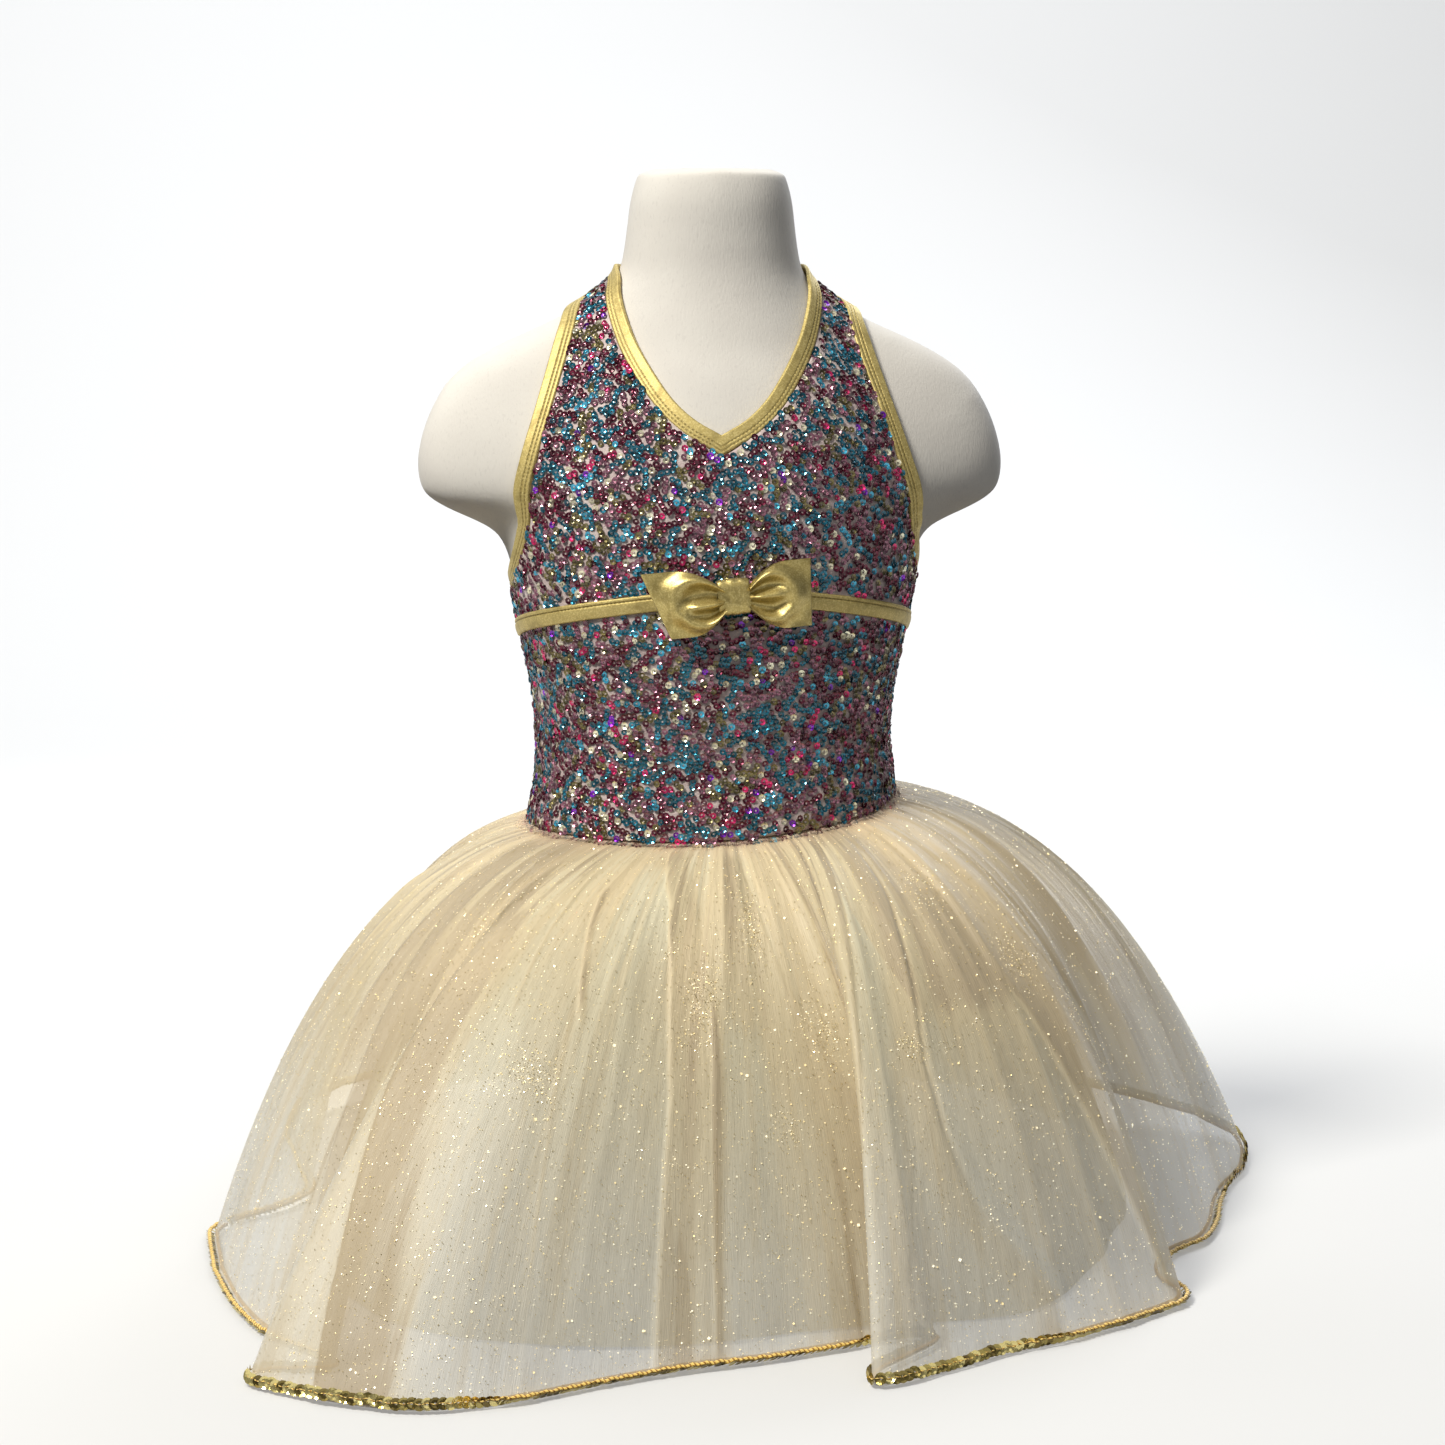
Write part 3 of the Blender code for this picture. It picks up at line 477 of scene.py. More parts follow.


# Skirt
# Sheer glitter organza, two full panels gathered into the waist seam, about four times as wide at the hem
# as at the waist. Where folds lie over each other the cloth looks deeper in colour, a single layer hazy.
# Broad patches of painted shade and of the bodice's painted shadow deepen it in places, and low down a
# single layer is painted paler and greyer, as light from the bright floor behind would make it.

# The front hem hangs level, this many mm up
HEM_HEIGHT = 1.3
HEM_FRONT = [(angle, reach, HEM_HEIGHT) for angle, reach in (
    (-91, 233), (-73, 242), (-54, 260), (-43, 266), (-40.5, 274), (-45.5, 297), (-44.5, 307), (-35, 304),
    (-28.6, 297), (-22.8, 273), (-17, 247), (-8, 222), (0, 213), (19, 203), (21.5, 210), (10, 242),
    (9, 255), (24.6, 239), (38, 240), (50.5, 247), (54, 241), (57, 228), (66, 221), (75, 236), (91, 252))]
HEM_BACK = [(91, 252, HEM_HEIGHT), (101, 284, 2), (110, 304, 4), (119, 290, 12), (129, 256, 22),
            (142, 246, 24), (154, 264, 19), (164, 286, 12), (175, 287, 9), (185, 264, 11), (195, 250, 15),
            (205, 262, 15), (215, 287, 13), (226, 276, 11), (236, 247, 9), (247, 215, 6), (257, 199, 4),
            (264, 211, 3), (269, 233, HEM_HEIGHT)]
SKIRT_COLUMNS, SKIRT_ROWS, SKIRT_BEND = 560, 84, 2.2 * MM
# Main gathers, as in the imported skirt, and how deep they are here
GATHERS, GATHER_DEPTH = 30, 1.25 * MM
# The cloth's length from waist to hem, in metres
SKIRT_LENGTH = 0.28
# A lap's edge rises over this angle
LAP_EDGE = math.radians(0.4)
SINGLE, DOUBLED, DEEPEST = (0.88, 0.81, 0.59), (0.70, 0.59, 0.38), (0.46, 0.37, 0.24)
PEACH, SEAM_BLUSH, PAINTED_LIGHT_HAZE = (0.76, 0.61, 0.38), (0.78, 0.56, 0.38), (0.87, 0.88, 0.87)


def smoothstep(x):
    x = np.clip(x, 0.0, 1.0)
    return x * x * (3 - 2 * x)


class Creases:
    """Creases that run down the skirt from the waist at uneven distances. Each has its own width in degrees,
    height, the shares of the length where it starts and ends, and a lap beside it that lies doubled."""

    def __init__(self, seed, count, widths, heights, starts, ends, laps):
        rng = np.random.default_rng(seed)
        self.places = 2 * math.pi * (np.arange(count) + rng.uniform(-0.4, 0.4, count)) / count
        self.drifts = rng.normal(0, math.radians(2.0), count)
        self.widths = np.radians(rng.uniform(*widths, count))
        self.heights = rng.uniform(*heights, count) * MM
        self.starts, self.ends = rng.uniform(*starts, count), rng.uniform(*ends, count)
        self.laps = np.radians(rng.uniform(*laps, count)) * rng.choice((-1, 1), count)

    def each(self, angle, v):
        """For each crease: how far a place lies from it round the waist, and how strong it is there."""
        for i, place in enumerate(self.places):
            away = (angle - place - self.drifts[i] * v + math.pi) % (2 * math.pi) - math.pi
            start = self.starts[i]
            grown = smoothstep((v - start) / 0.10) if start > 0 else np.minimum(v / 0.03, 1)
            yield i, away, grown * (1 - smoothstep((v - self.ends[i]) / 0.25))

    def relief(self, angle, v):
        return sum(self.heights[i] * strength * np.exp(-np.abs(away / self.widths[i]) ** 1.25)
                   for i, away, strength in self.each(angle, v))

    def doubled(self, angle, v):
        """How many laps lie over each place."""
        total = 0.0
        for i, away, strength in self.each(angle, v):
            share = away / self.laps[i]
            total = total + strength * smoothstep(share / 0.04) * (1 - smoothstep((share - 1) / 0.08))
        return total


PLEATS = Creases(31, 150, (0.5, 1.3), (0.2, 1.0), (-1, 0.0), (0.04, 0.45), (0.8, 2.2))
LONG_FOLDS = Creases(32, 52, (1.0, 3.2), (0.4, 2.2), (-0.4, 0.35), (0.55, 1.3), (2.0, 6.5))
# Crisp edges that two laps share, as shares of the length down and angles in degrees
LEFT_LAP = [(0.06, -18.6), (0.24, -13.2), (0.39, -10.9), (0.64, -9.0), (1, -9.0)]
RIGHT_LAP = [(0.07, 30.0), (0.43, 27.5), (0.72, 26.0), (1, 22.0)]
TURNED_EDGE = [(0.28, 38.5), (0.61, 35.3), (0.72, 36.0), (0.81, 38.0), (0.95, 44.5)]
# The laps that show most on the front, with some broad patches of painted shade and shadow among them. For
# each, its crisp edge, its width beside that edge at the waist and at the hem, how deep its colour is (less
# than none where the cloth lies single and pale), how far its edge stands out in mm, and the shares of the
# length where it starts and ends
FRONT_LAPS = [
    (LEFT_LAP, 7.0, 6.2, 1.2, 1.2, 0.0, 1.2),
    (LEFT_LAP, -8, -11, -1.0, 0.0, 0.08, 1.1),
    ([(0.45, -4.8), (0.60, -4.2), (1, -3.9)], 1.7, 1.2, 1.8, 1.0, 0.46, 0.97),
    ([(0.45, -3.0), (0.60, -2.8), (1, -2.6)], 5.0, 6.0, -0.6, 0.0, 0.5, 1.2),
    (RIGHT_LAP, -30, -19, 0.9, 0.9, 0.0, 1.2),
    (RIGHT_LAP, 5.5, 5, -0.8, 0.0, 0.05, 0.9),
    ([(0.15, 3.0), (0.45, 6.5), (0.68, 13.0), (1, 16.0)], -9, -12, 0.9, 0.4, 0.05, 1.1),
    # Painted shadow: no lap, the shadow that the bodice casts on the upper right of the skirt, painted
    # deeper
    ([(0, 26.0), (0.3, 30.0), (0.6, 38.0)], 50, 50, 1.5, 0.0, -0.1, 0.50),
    (TURNED_EDGE, -5, -5, 0.8, 1.0, 0.1, 1.2),
    ([(share, angle + 0.3) for share, angle in TURNED_EDGE], 4.5, 2.0, -0.8, 0.6, 0.1, 0.95),
    ([(0.1, 48.0), (0.46, 49.5), (0.60, 52.2), (0.78, 54.3), (1, 57.0)], 22, 7, 1.4, 1.4, 0.0, 1.2),
    # Partly a lap that stands out, partly painted shade that deepens the upper right
    ([(0.04, 51.0), (0.2, 54.0), (0.5, 60.0)], 15, 10, 1.2, 0.6, 0.03, 0.50),
    ([(0.3, 65.0), (0.7, 68.0), (1, 70.0)], 6, 4, 0.7, 0.8, 0.2, 0.9),
    # Painted shade: no lap, the right flank, which faces away from the light, darkened broadly
    ([(0, 56.0), (1, 64.0)], 60, 46, 0.8, 0.0, -0.1, 0.80),
    ([(0.1, -55.0), (0.23, -49.5), (0.34, -45.0), (0.6, -42.0), (0.84, -38.0), (1, -36.0)],
     9, 9, 2.1, 0.9, 0.0, 1.1),
    # Painted shade: no lap, the left flank darkened broadly, against the strong light from the left
    ([(0, -70.0), (1, -62.0)], 45, 42, 0.7, 0.0, -0.1, 1.2),
    ([(0.05, -46.0), (0.23, -40.0), (0.34, -36.0), (0.6, -34.5)], 9, 8, -0.7, 0.0, 0.10, 0.60),
    ([(0.18, -28.5), (0.29, -26.6), (0.37, -24.8), (0.5, -21.8)], 1.6, 1.3, 1.9, 1.3, 0.16, 0.44),
    ([(0.4, -24.0), (0.6, -22.5), (0.9, -20.5)], 0.9, 0.6, 0.9, 0.5, 0.45, 0.85),
    ([(0.05, -66.0), (0.4, -62.0), (0.9, -58.0)], 6, 4, 0.9, 0.8, 0.05, 0.85),
    ([(0.1, -34.0), (0.3, -33.0), (0.5, -31.0)], 1.0, 1.0, 0.8, 0.8, 0.1, 0.45),
]


def front_laps(angle, v):
    """How deep the laps of the front, and the painted shade among them, make the colour, and how far they
    stand out in metres.
    """
    depth, stand = 0.0, 0.0
    for edge, at_waist, at_hem, deep, out, start, end in FRONT_LAPS:
        edge_angle = np.radians(np.interp(v, *np.array(edge).T))
        width = np.radians(at_waist + (at_hem - at_waist) * v)
        inside = (angle - edge_angle) * np.sign(width)
        over = smoothstep(inside / LAP_EDGE) * smoothstep((v - start) / 0.06)
        over = over * (1 - smoothstep((v - end) / 0.08))
        depth = depth + deep * over * (1 - smoothstep((inside / np.abs(width) - 0.5) / 0.5))
        stand = stand + out * MM * over * (1 - smoothstep(inside / np.abs(width)))
    return depth, stand


def organza_relief(angle, v):
    """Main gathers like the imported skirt's, with the finer pleats and the long folds added."""
    phase = GATHERS * angle + 1.1 * np.sin(3 * angle + 1.0) + 0.7 * np.sin(7 * angle + 0.4)
    uneven = 0.75 + 0.25 * np.sin(5 * angle + 2.0)
    start = np.minimum(v / 0.10, 1.0)
    main = GATHER_DEPTH * start * (1 - 0.65 * v) * uneven * (0.5 + 0.5 * np.cos(phase))
    folds = LONG_FOLDS.relief(angle, v) * np.minimum(v / 0.3 + 0.3, 1.0)
    return main + PLEATS.relief(angle, v) + folds + front_laps(angle, v)[1] * np.minimum(v / 0.1, 1.0)


# Light that comes through the cloth is given as a faint glow
organza = Finish("glitter organza", Roughness=0.5, Sheen_Weight=0.35, Sheen_Roughness=0.3,
                 Emission_Strength=0.09)
fall = organza.across_and_along()[1] * (1 / SKIRT_LENGTH)
# The doubled attribute holds the laps, and on the front also the painted shade and shadow among them
laps = organza.node("ShaderNodeAttribute", {"attribute_name": "doubled"}, out=2)
streaks = 0.0
for width, slant, edge in ((38.0, 3.4, 0.55), (61.0, 4.5, 0.58), (120.0, 6.0, 0.60)):
    streaks = streaks + organza.cloth_noise(width, slant, 1.0, 0.35).above(edge, 0.014)
soft = organza.cloth_noise(22.0, 7.0, 3.0)
depth = (laps * 0.30 + streaks * 0.13 + soft.above(0.5, 0.25) * 0.16 + 0.12).at_most(1.0)
tone = organza.mix(depth.above(0.28, 0.28), SINGLE, DOUBLED)
tone = organza.mix(depth.above(0.78, 0.24), tone, DEEPEST)
peachy = organza.cloth_noise(15.0, 7.0).above(0.54, 0.10)
high = 1.0 - fall.above(0.45, 0.4)
tone = organza.mix(peachy * high * 0.6, tone, PEACH)
tone = organza.mix((1.0 - fall.above(0.05, 0.05)) * (soft * 0.6 + 0.2), tone, SEAM_BLUSH)
# Painted light: low down, where the cloth lies single, it is lightened to a pale grey, as the bright floor
# behind it would light it through
tone = organza.mix(fall.above(0.68, 0.3) * (1.0 - depth) * 0.85, tone, PAINTED_LIGHT_HAZE)
organza.feed("Emission Color", organza.mix(fall.above(0.72, 0.25), (0.25, 0.22, 0.15), tone))
thread = organza.cloth_noise(1900.0, 90.0)
organza.feed("Base Color", organza.mix(thread.above(0.55, 0.2) * 0.18, tone, (0.42, 0.34, 0.22)))
waist = 1.0 - fall.above(0.22, 0.25)
high = 1.0 - fall.above(0.6, 0.45)
organza.feed("Alpha", (0.40 + high * 0.20 + depth * 0.36 + waist * 0.20 + thread * 0.10).at_most(0.97))
organza.relief(thread * 0.6 + organza.cloth_noise(70.0, 22.0, 2.0) * 4.0, 0.3 * MM)

# For each half, the points of its cloth and the length down the cloth to each
skirts = {}
for half, panel in (("front", SkirtPanel(HEM_FRONT, HEM_BACK, -90, SKIRT_COLUMNS)),
                    ("back", SkirtPanel(HEM_BACK, HEM_FRONT, 90, SKIRT_COLUMNS))):
    lift = ON_FORM + CLOTH + GAP
    points, down_cloth = panel.grid(SKIRT_ROWS, SKIRT_BEND, (0.12, 0.08), lift, organza_relief)
    skirt = grid_mesh("organza_" + half, points, panel.length, down_cloth)
    v, around = shares_down(SKIRT_ROWS), panel.angle[:, None]
    # front_laps adds its painted shade and shadow to the laps here
    doubled = PLEATS.doubled(around, v) * 0.7 + front_laps(around, v)[0]
    # The cloth lies thickest over the sides, high up
    sides = smoothstep((math.pi / 3 - np.abs(around % math.pi - math.pi / 2)) / 0.5)
    doubled = doubled + 1.1 * sides * (1 - smoothstep((v - 0.52) / 0.35))
    doubled = doubled + LONG_FOLDS.doubled(around, v) * (0.2 if half == "front" else 1.0)
    doubled = np.concatenate((doubled[:, :1], doubled), axis=1)
    skirt.data.attributes.new("doubled", "FLOAT", "POINT").data.foreach_set("value", doubled.ravel())
    dress(skirt, organza, "organza", "skirt_" + half)
    skirts[half] = points, down_cloth
    "lining_" + half


# Glitter
# Flecks of gold foil are scattered all over the organza, mostly well under a millimetre wide. Some are
# painted glints that glow with their own light, as if they caught the light fully, and here and there the
# flecks have come off the roll in a dense patch.

FLECK_COUNT, FLECK_LIFT = 35000, 0.35 * MM
# Each kind of fleck: its share, and its smallest and largest radius
FLECK_KINDS = {"gold": (0.72, 0.13 * MM, 0.30 * MM), "bright": (0.276, 0.15 * MM, 0.42 * MM),
               "star": (0.004, 0.45 * MM, 0.85 * MM)}
# Patches on the front: angle, share down from the waist, width, how much longer than wide, flecks
PATCHES = [(-25, 0.60, 15 * MM, 1.0, 420), (34, 0.59, 9 * MM, 1.0, 200), (54, 0.50, 12 * MM, 1.6, 420),
           (-75.5, 0.60, 8 * MM, 1.5, 80), (2, 0.32, 7 * MM, 4.0, 420), (-6, 0.48, 11 * MM, 2.5, 480),
           (10, 0.57, 12 * MM, 1.5, 360), (4, 0.73, 7 * MM, 2.0, 130), (46, 0.30, 10 * MM, 2.0, 260),
           (-52, 0.35, 16 * MM, 2.0, 300), (-46, 0.62, 18 * MM, 2.0, 300), (60, 0.64, 12 * MM, 3.0, 360)]


def unit(vectors):
    return vectors / np.linalg.norm(vectors, axis=-1, keepdims=True)


def discs(name, centres, normals, rings, sides, rng, scales=1.0):
    """One mesh of many small round pieces, each turned at random. Rings are rows of radius and rise, from
    the hole outwards, and a piece of one ring is a flat disc. All of a piece lies at one random place on
    the map, from 0 to 1, which gives its tone."""
    count = len(centres)
    helper = np.where(np.abs(normals[:, 2:]) < 0.9, (0.0, 0.0, 1.0), (1.0, 0.0, 0.0))
    first = unit(np.cross(helper, normals))
    second = np.cross(normals, first)
    turn = rng.uniform(0, 2 * math.pi, count)[:, None] + 2 * math.pi * np.arange(sides) / sides
    tones = rng.random((count, 2))
    rim = first[:, None] * np.cos(turn)[..., None] + second[:, None] * np.sin(turn)[..., None]
    scales = np.broadcast_to(scales, count)[:, None, None]
    layers = [(rim * radius + normals[:, None] * rise) * scales for radius, rise in rings]
    points = centres[:, None, None] + np.stack(layers, axis=1)
    corners = index = np.arange(len(rings) * sides).reshape(len(rings), sides)
    if len(rings) > 1:
        after = np.roll(index, -1, axis=1)
        corners = np.stack((index[:-1], index[1:], after[1:], after[:-1]), axis=-1).reshape(-1, 4)
    faces = (corners + index.size * np.arange(count)[:, None, None]).reshape(-1, corners.shape[1])
    return mapped_mesh(name, points, faces, np.repeat(tones, index.size, axis=0))


def tilted(normals, spread, rng):
    return unit(normals + rng.normal(0, spread, normals.shape))


def drawn_cells(chance, count, rng):
    """Columns and rows of cells, drawn by the chance of each."""
    cells = rng.choice(chance.size, count, p=(chance / chance.sum()).ravel())
    return np.unravel_index(cells, chance.shape)


# The darkest and the lightest fleck of each foil
GOLD_FOIL, BRIGHT_FOIL = ((0.45, 0.33, 0.10), (0.86, 0.72, 0.38)), ((0.95, 0.78, 0.42), (0.98, 0.95, 0.80))
foils = {}
for kind, roughness, metallic, glow, colours in (("gold", 0.32, 0.85, 0.0, GOLD_FOIL),
                                                 ("bright", 0.3, 0.5, 0.75, BRIGHT_FOIL),
                                                 ("star", 0.3, 0.5, 1.0, BRIGHT_FOIL)):
    foil = Finish(kind + " foil fleck", Roughness=roughness, Metallic=metallic, Emission_Strength=glow)
    tone, _ = foil.across_and_along()
    foil.feed("Base Color", foil.mix(tone, *colours))
    # Painted glints: the brighter flecks glow as if they caught the light fully
    if glow:
        foil.feed("Emission Color", foil.mix(tone, (0.92, 0.70, 0.30), (1.0, 0.95, 0.75)))
    foils[kind] = foil

for half, seed in (("front", 11), ("back", 12)):
    rng = np.random.default_rng(seed)
    grid, _ = skirts[half]
    outward = np.cross(grid[:-1, 1:] - grid[:-1, :-1], grid[1:, :-1] - grid[:-1, :-1])
    area = np.linalg.norm(outward, axis=2)
    columns, rows = drawn_cells(area, FLECK_COUNT, rng)
    for angle, depth, width, longer, count in (PATCHES if half == "front" else ()):
        column, row = int((angle + 90) / 180 * SKIRT_COLUMNS), int(depth ** (1 / ROW_CROWDING) * SKIRT_ROWS)
        away = grid[:-1, :-1] - grid[column, row]
        downward = unit(grid[column, row + 1] - grid[column, row - 1])
        lengthwise = away @ downward
        sideways = np.linalg.norm(away - lengthwise[..., None] * downward, axis=2)
        chance = np.exp(-0.5 * (sideways ** 2 + (lengthwise / longer) ** 2) / (0.45 * width) ** 2)
        patch = drawn_cells(chance, count, rng)
        columns, rows = np.concatenate((columns, patch[0])), np.concatenate((rows, patch[1]))
    across, down = rng.random((2, len(columns), 1))
    corner = grid[columns, rows]
    places = corner + (grid[columns + 1, rows] - corner) * across + (grid[columns, rows + 1] - corner) * down
    normals = outward[columns, rows] / area[columns, rows][:, None]
    places = places + normals * FLECK_LIFT
    kinds = rng.choice(list(FLECK_KINDS), len(places), p=[share for share, _, _ in FLECK_KINDS.values()])
    for kind, (_, smallest, largest) in FLECK_KINDS.items():
        chosen = kinds == kind
        sizes = smallest + (largest - smallest) * rng.random(chosen.sum()) ** 2
        flecks = discs("glitter_%s_%s" % (kind, half), places[chosen], tilted(normals[chosen], 0.3, rng),
                       [(1.0, 0.0)], 4, rng, scales=sizes)
        dress(flecks, foils[kind], "organza")


# Hem strands
# A string of gold cup sequins, sewn along the hem so close that each covers half of the next. In places it
# has rolled over, and shows its edge and the orange thread instead.

STRAND_PITCH = 3.1 * MM
CUP_RINGS = [(0.5 * MM, 0.0), (1.7 * MM, 0.15 * MM), (2.65 * MM, 0.50 * MM)]
CUP_LEAN = math.radians(16)
# How far above the hem the middle of a cup lies, how far it sinks where the strand has rolled over, and how
# far it stands out where the strand lies flat
CUP_MIDDLE, CUP_SINK, CUP_STAND = 2.7 * MM, 2.3 * MM, 0.9 * MM
# The line of stitches that holds the strand: how far above the hem and inside it, and its radius
STITCHES_UP, STITCHES_IN, STITCHES_RADIUS = 1.6 * MM, 1.0 * MM, 0.85 * MM
# The thread's radius where the strand lies flat and where it has rolled over
THREAD_FLAT, THREAD_ROLLED = 0.22 * MM, 0.88 * MM
# How far the strand has rolled, in degrees, at shares of the hem's length
ROLLED_FRONT = [(0, 80), (0.19, 80), (0.235, 12), (0.36, 0), (0.39, 70), (0.535, 75), (0.56, 0), (0.66, 8),
                (0.69, 20), (0.715, 5), (0.735, 30), (0.755, 72), (1, 80)]
ROLLED_BACK = [(0, 70), (0.03, 10), (0.2, 0), (0.3, 60), (0.6, 20), (0.75, 70), (1, 75)]
# The front strand is sewn on in two lengths. The second starts at this share of the hem, and its sequins
# lie the other way
SECOND_LENGTH = 0.60


def swept_tube(name, path, radius, sides=8):
    """A round tube along a line of points, of one radius or of one for each point."""
    along_path = unit(np.gradient(path, axis=0))
    aside = unit(np.cross(along_path, (0.0, 0.0, 1.0)))
    upward = np.cross(aside, along_path)
    turn = 2 * math.pi * np.arange(sides) / sides
    rings = aside[:, None] * np.cos(turn)[:, None] + upward[:, None] * np.sin(turn)[:, None]
    points = path[:, None] + rings * np.reshape(radius, (-1, 1, 1))
    points = np.concatenate((points, points[:, :1]), axis=1)
    return grid_mesh(name, points, np.append(turn, 0.0) * np.mean(radius), lengths_along(path)[:, None])


cups = Finish("gold cup sequins", Metallic=0.85, Coat_Weight=0.4)
tone, turn = cups.across_and_along()
dark = cups.mix(tone, (0.13, 0.09, 0.02), (0.46, 0.37, 0.11))
cups.feed("Base Color", cups.mix(turn.above(0.60, 0.04), dark, (0.80, 0.68, 0.28)))
cups.feed("Roughness", cups.noise(900.0, 1.0) * 0.2 + 0.14)

strand_thread = Finish("orange thread", Roughness=0.55, Sheen_Weight=0.3)
around, run = strand_thread.across_and_along()
twist_and_groove_shade = (run + around * 0.7).waves(2.2 * MM)
# Painted shade: the thread is darkened to brown in the grooves of its twisted strands
tone = strand_thread.mix(twist_and_groove_shade.above(0.25, 0.2), (0.36, 0.15, 0.02), (1.0, 0.72, 0.20))
strand_thread.feed("Base Color", tone)
strand_thread.relief(twist_and_groove_shade, 0.15 * MM)

inner_thread = Finish("ochre thread", Roughness=0.7)
knots = inner_thread.cloth_noise(600.0, 600.0)
inner_thread.feed("Base Color", inner_thread.mix(knots, (0.42, 0.22, 0.04), (0.66, 0.40, 0.10)))

for half, rolled, seed in (("front", ROLLED_FRONT, 21), ("back", ROLLED_BACK, 22)):
    rng = np.random.default_rng(seed)
    grid, _ = skirts[half]
    hem = grid[:, -1]
    upward = unit(grid[:, -4] - hem)
    forward = unit(np.gradient(hem, axis=0))
    run = lengths_along(hem)
    places = np.arange(STRAND_PITCH, run[-1] - STRAND_PITCH, STRAND_PITCH)
    hem, upward, forward = [at_lengths(places, run, line) for line in (hem, upward, forward)]
    upward = unit(upward)
    outward = unit(np.cross(forward, upward))
    forward = np.cross(upward, outward)
    roll = np.radians(np.interp(places / run[-1], *np.array(rolled).T))[:, None]
    roll = roll + rng.normal(0, 0.10, roll.shape)
    facing = outward * np.cos(roll) - upward * np.sin(roll)
    lean = CUP_LEAN + rng.normal(0, 0.08, roll.shape)
    if half == "front":
        lean[places / run[-1] > SECOND_LENGTH] *= -1
    normals = unit(facing * np.cos(lean) + forward * np.sin(lean))
    rolled_over = np.sin(roll)
    middle = hem + upward * (CUP_MIDDLE - CUP_SINK * rolled_over) + outward * CUP_STAND * (1 + rolled_over)
    strand = discs("hem_strand_" + half, middle, normals, CUP_RINGS, 12, rng)
    dress(strand, cups, "gold_sequins", "hem_trim_" + half)
    wander = upward * 0.3 * MM * np.where(np.arange(len(places)) % 2, 1.0, -1.0)[:, None]
    raised = outward * (0.5 + 0.5 * rolled_over) + upward * 0.6 * rolled_over
    thread = swept_tube("hem_thread_" + half, middle + wander + raised * MM,
                        THREAD_FLAT + (THREAD_ROLLED - THREAD_FLAT) * smoothstep(rolled_over))
    dress(thread, strand_thread, "gold_sequins")
    stitch_path = hem + upward * STITCHES_UP - outward * STITCHES_IN
    stitching = swept_tube("hem_stitching_" + half, stitch_path, STITCHES_RADIUS)
    dress(stitching, inner_thread, "gold_sequins")


# Bodice
# A pinkish stretch net, drawn tight over the form, sewn all over with cup sequins. Its raw lower edge shows
# below the waist seam as a narrow frayed frill.

# The net's colour, and a painted shaded copy of it
NET, NET_PAINTED_SHADE = (0.74, 0.63, 0.60), (0.56, 0.44, 0.43)

net = Finish("pink stretch net", Roughness=0.75, Sheen_Weight=0.3)
mesh_holes, folds = net.noise(1500.0, 1.0), net.noise(120.0)
# Painted shade: in broad random patches the same noise that makes the folds darkens the net towards its
# shaded copy
tone = net.mix(folds.above(0.5, 0.2), NET_PAINTED_SHADE, NET)
net.feed("Base Color", net.mix(mesh_holes.above(0.5, 0.1) * 0.3, tone, (0.42, 0.33, 0.33)))
net.relief(mesh_holes + folds, 0.25 * MM)

bodice = {}
for half, flat, area in (("front", (0.30, 0.27), 0.050), ("back", (0.27, 0.125), 0.025)):
    bodice[half] = refined("bodice_" + half, "net_" + half)
    dress(bodice[half], net, "sequin_net", "bodice_" + half)

# The frill is mapped this long and this far round. It hangs down by its width and by up to the fray more
FRILL_LENGTH, FRILL_RUN, FRILL_ROWS = 10.0 * MM, 0.27, 7
FRILL_WIDTH, FRILL_FRAY = 6.0 * MM, 6.0 * MM
# How far off the form its upper threads lie
FRILL_LIFT = ON_FORM + 3.1 * MM

frayed = Finish("frayed net edge", Roughness=0.8, Sheen_Weight=0.4)
threads = frayed.cloth_noise(2600.0, 90.0)
patches = frayed.noise(160.0).above(0.5, 0.2)
frayed.feed("Base Color", frayed.mix(patches, (0.82, 0.66, 0.46), (0.78, 0.55, 0.42)))
_, reach_down = frayed.across_and_along()
thinning = 1.0 - (reach_down * (1 / FRILL_LENGTH)).above(0.62, 0.38)
frayed.feed("Alpha", (threads.above(0.48, 0.12) * 0.55 + 0.3) * thinning)
frayed.relief(threads, 0.3 * MM)

rng = np.random.default_rng(5)
for half in ("front", "back"):
    grid, down_cloth = skirts[half]
    fray = FRILL_WIDTH + FRILL_FRAY * rng.random(len(grid)) ** 2
    # Its upper threads reach up between the lowest sequins
    seam = grid[:, 1]
    turning = np.arctan2(seam[:, 0], -seam[:, 1])
    reach = np.convolve(rng.normal(size=len(grid) + 4), np.ones(5) / 5, "valid") * 3.0 + 1.2
    reach = (np.clip(reach, 0.2, 3.4) + 0.5 * rng.random(len(grid))) * MM
    rows = [np.array([on_form(angle, height, FRILL_LIFT)[0]
                      for angle, height in zip(turning, seam[:, 2] + reach)])]
    for share in np.linspace(0, 1, FRILL_ROWS - 1):
        wanted = down_cloth[:, 1] + fray * share
        point = np.array([at_lengths(*column) for column in zip(wanted, down_cloth, grid)])
        outward = unit(point * (1, 1, 0)) * 0.5 + (0, 0, 0.85)
        standoff = 1.8 - 1.0 * share + 0.4 * rng.random((len(grid), 1))
        rows.append(point + outward * standoff * MM)
    points = np.stack(rows, axis=1)
    frill = grid_mesh("net_frill_" + half, points, FRILL_RUN, FRILL_LENGTH)
    dress(frill, frayed, "sequin_net")
    "organza_" + half


# Gold bindings
# Strips of gold foiled knit, folded over the edges of the bodice and stitched down twice near their lower
# edge. The strip round the neck meets itself in a mitre at the point of the V.

# A strip is cut this wide, and its edges are folded in
BINDING_WIDTH, BINDING_THICKNESS, EDGE_ROLL = 8.4 * MM, 1.5 * MM, 1.0 * MM
STITCH_LENGTH, STITCH_GROOVE = 1.9 * MM, 0.28 * MM
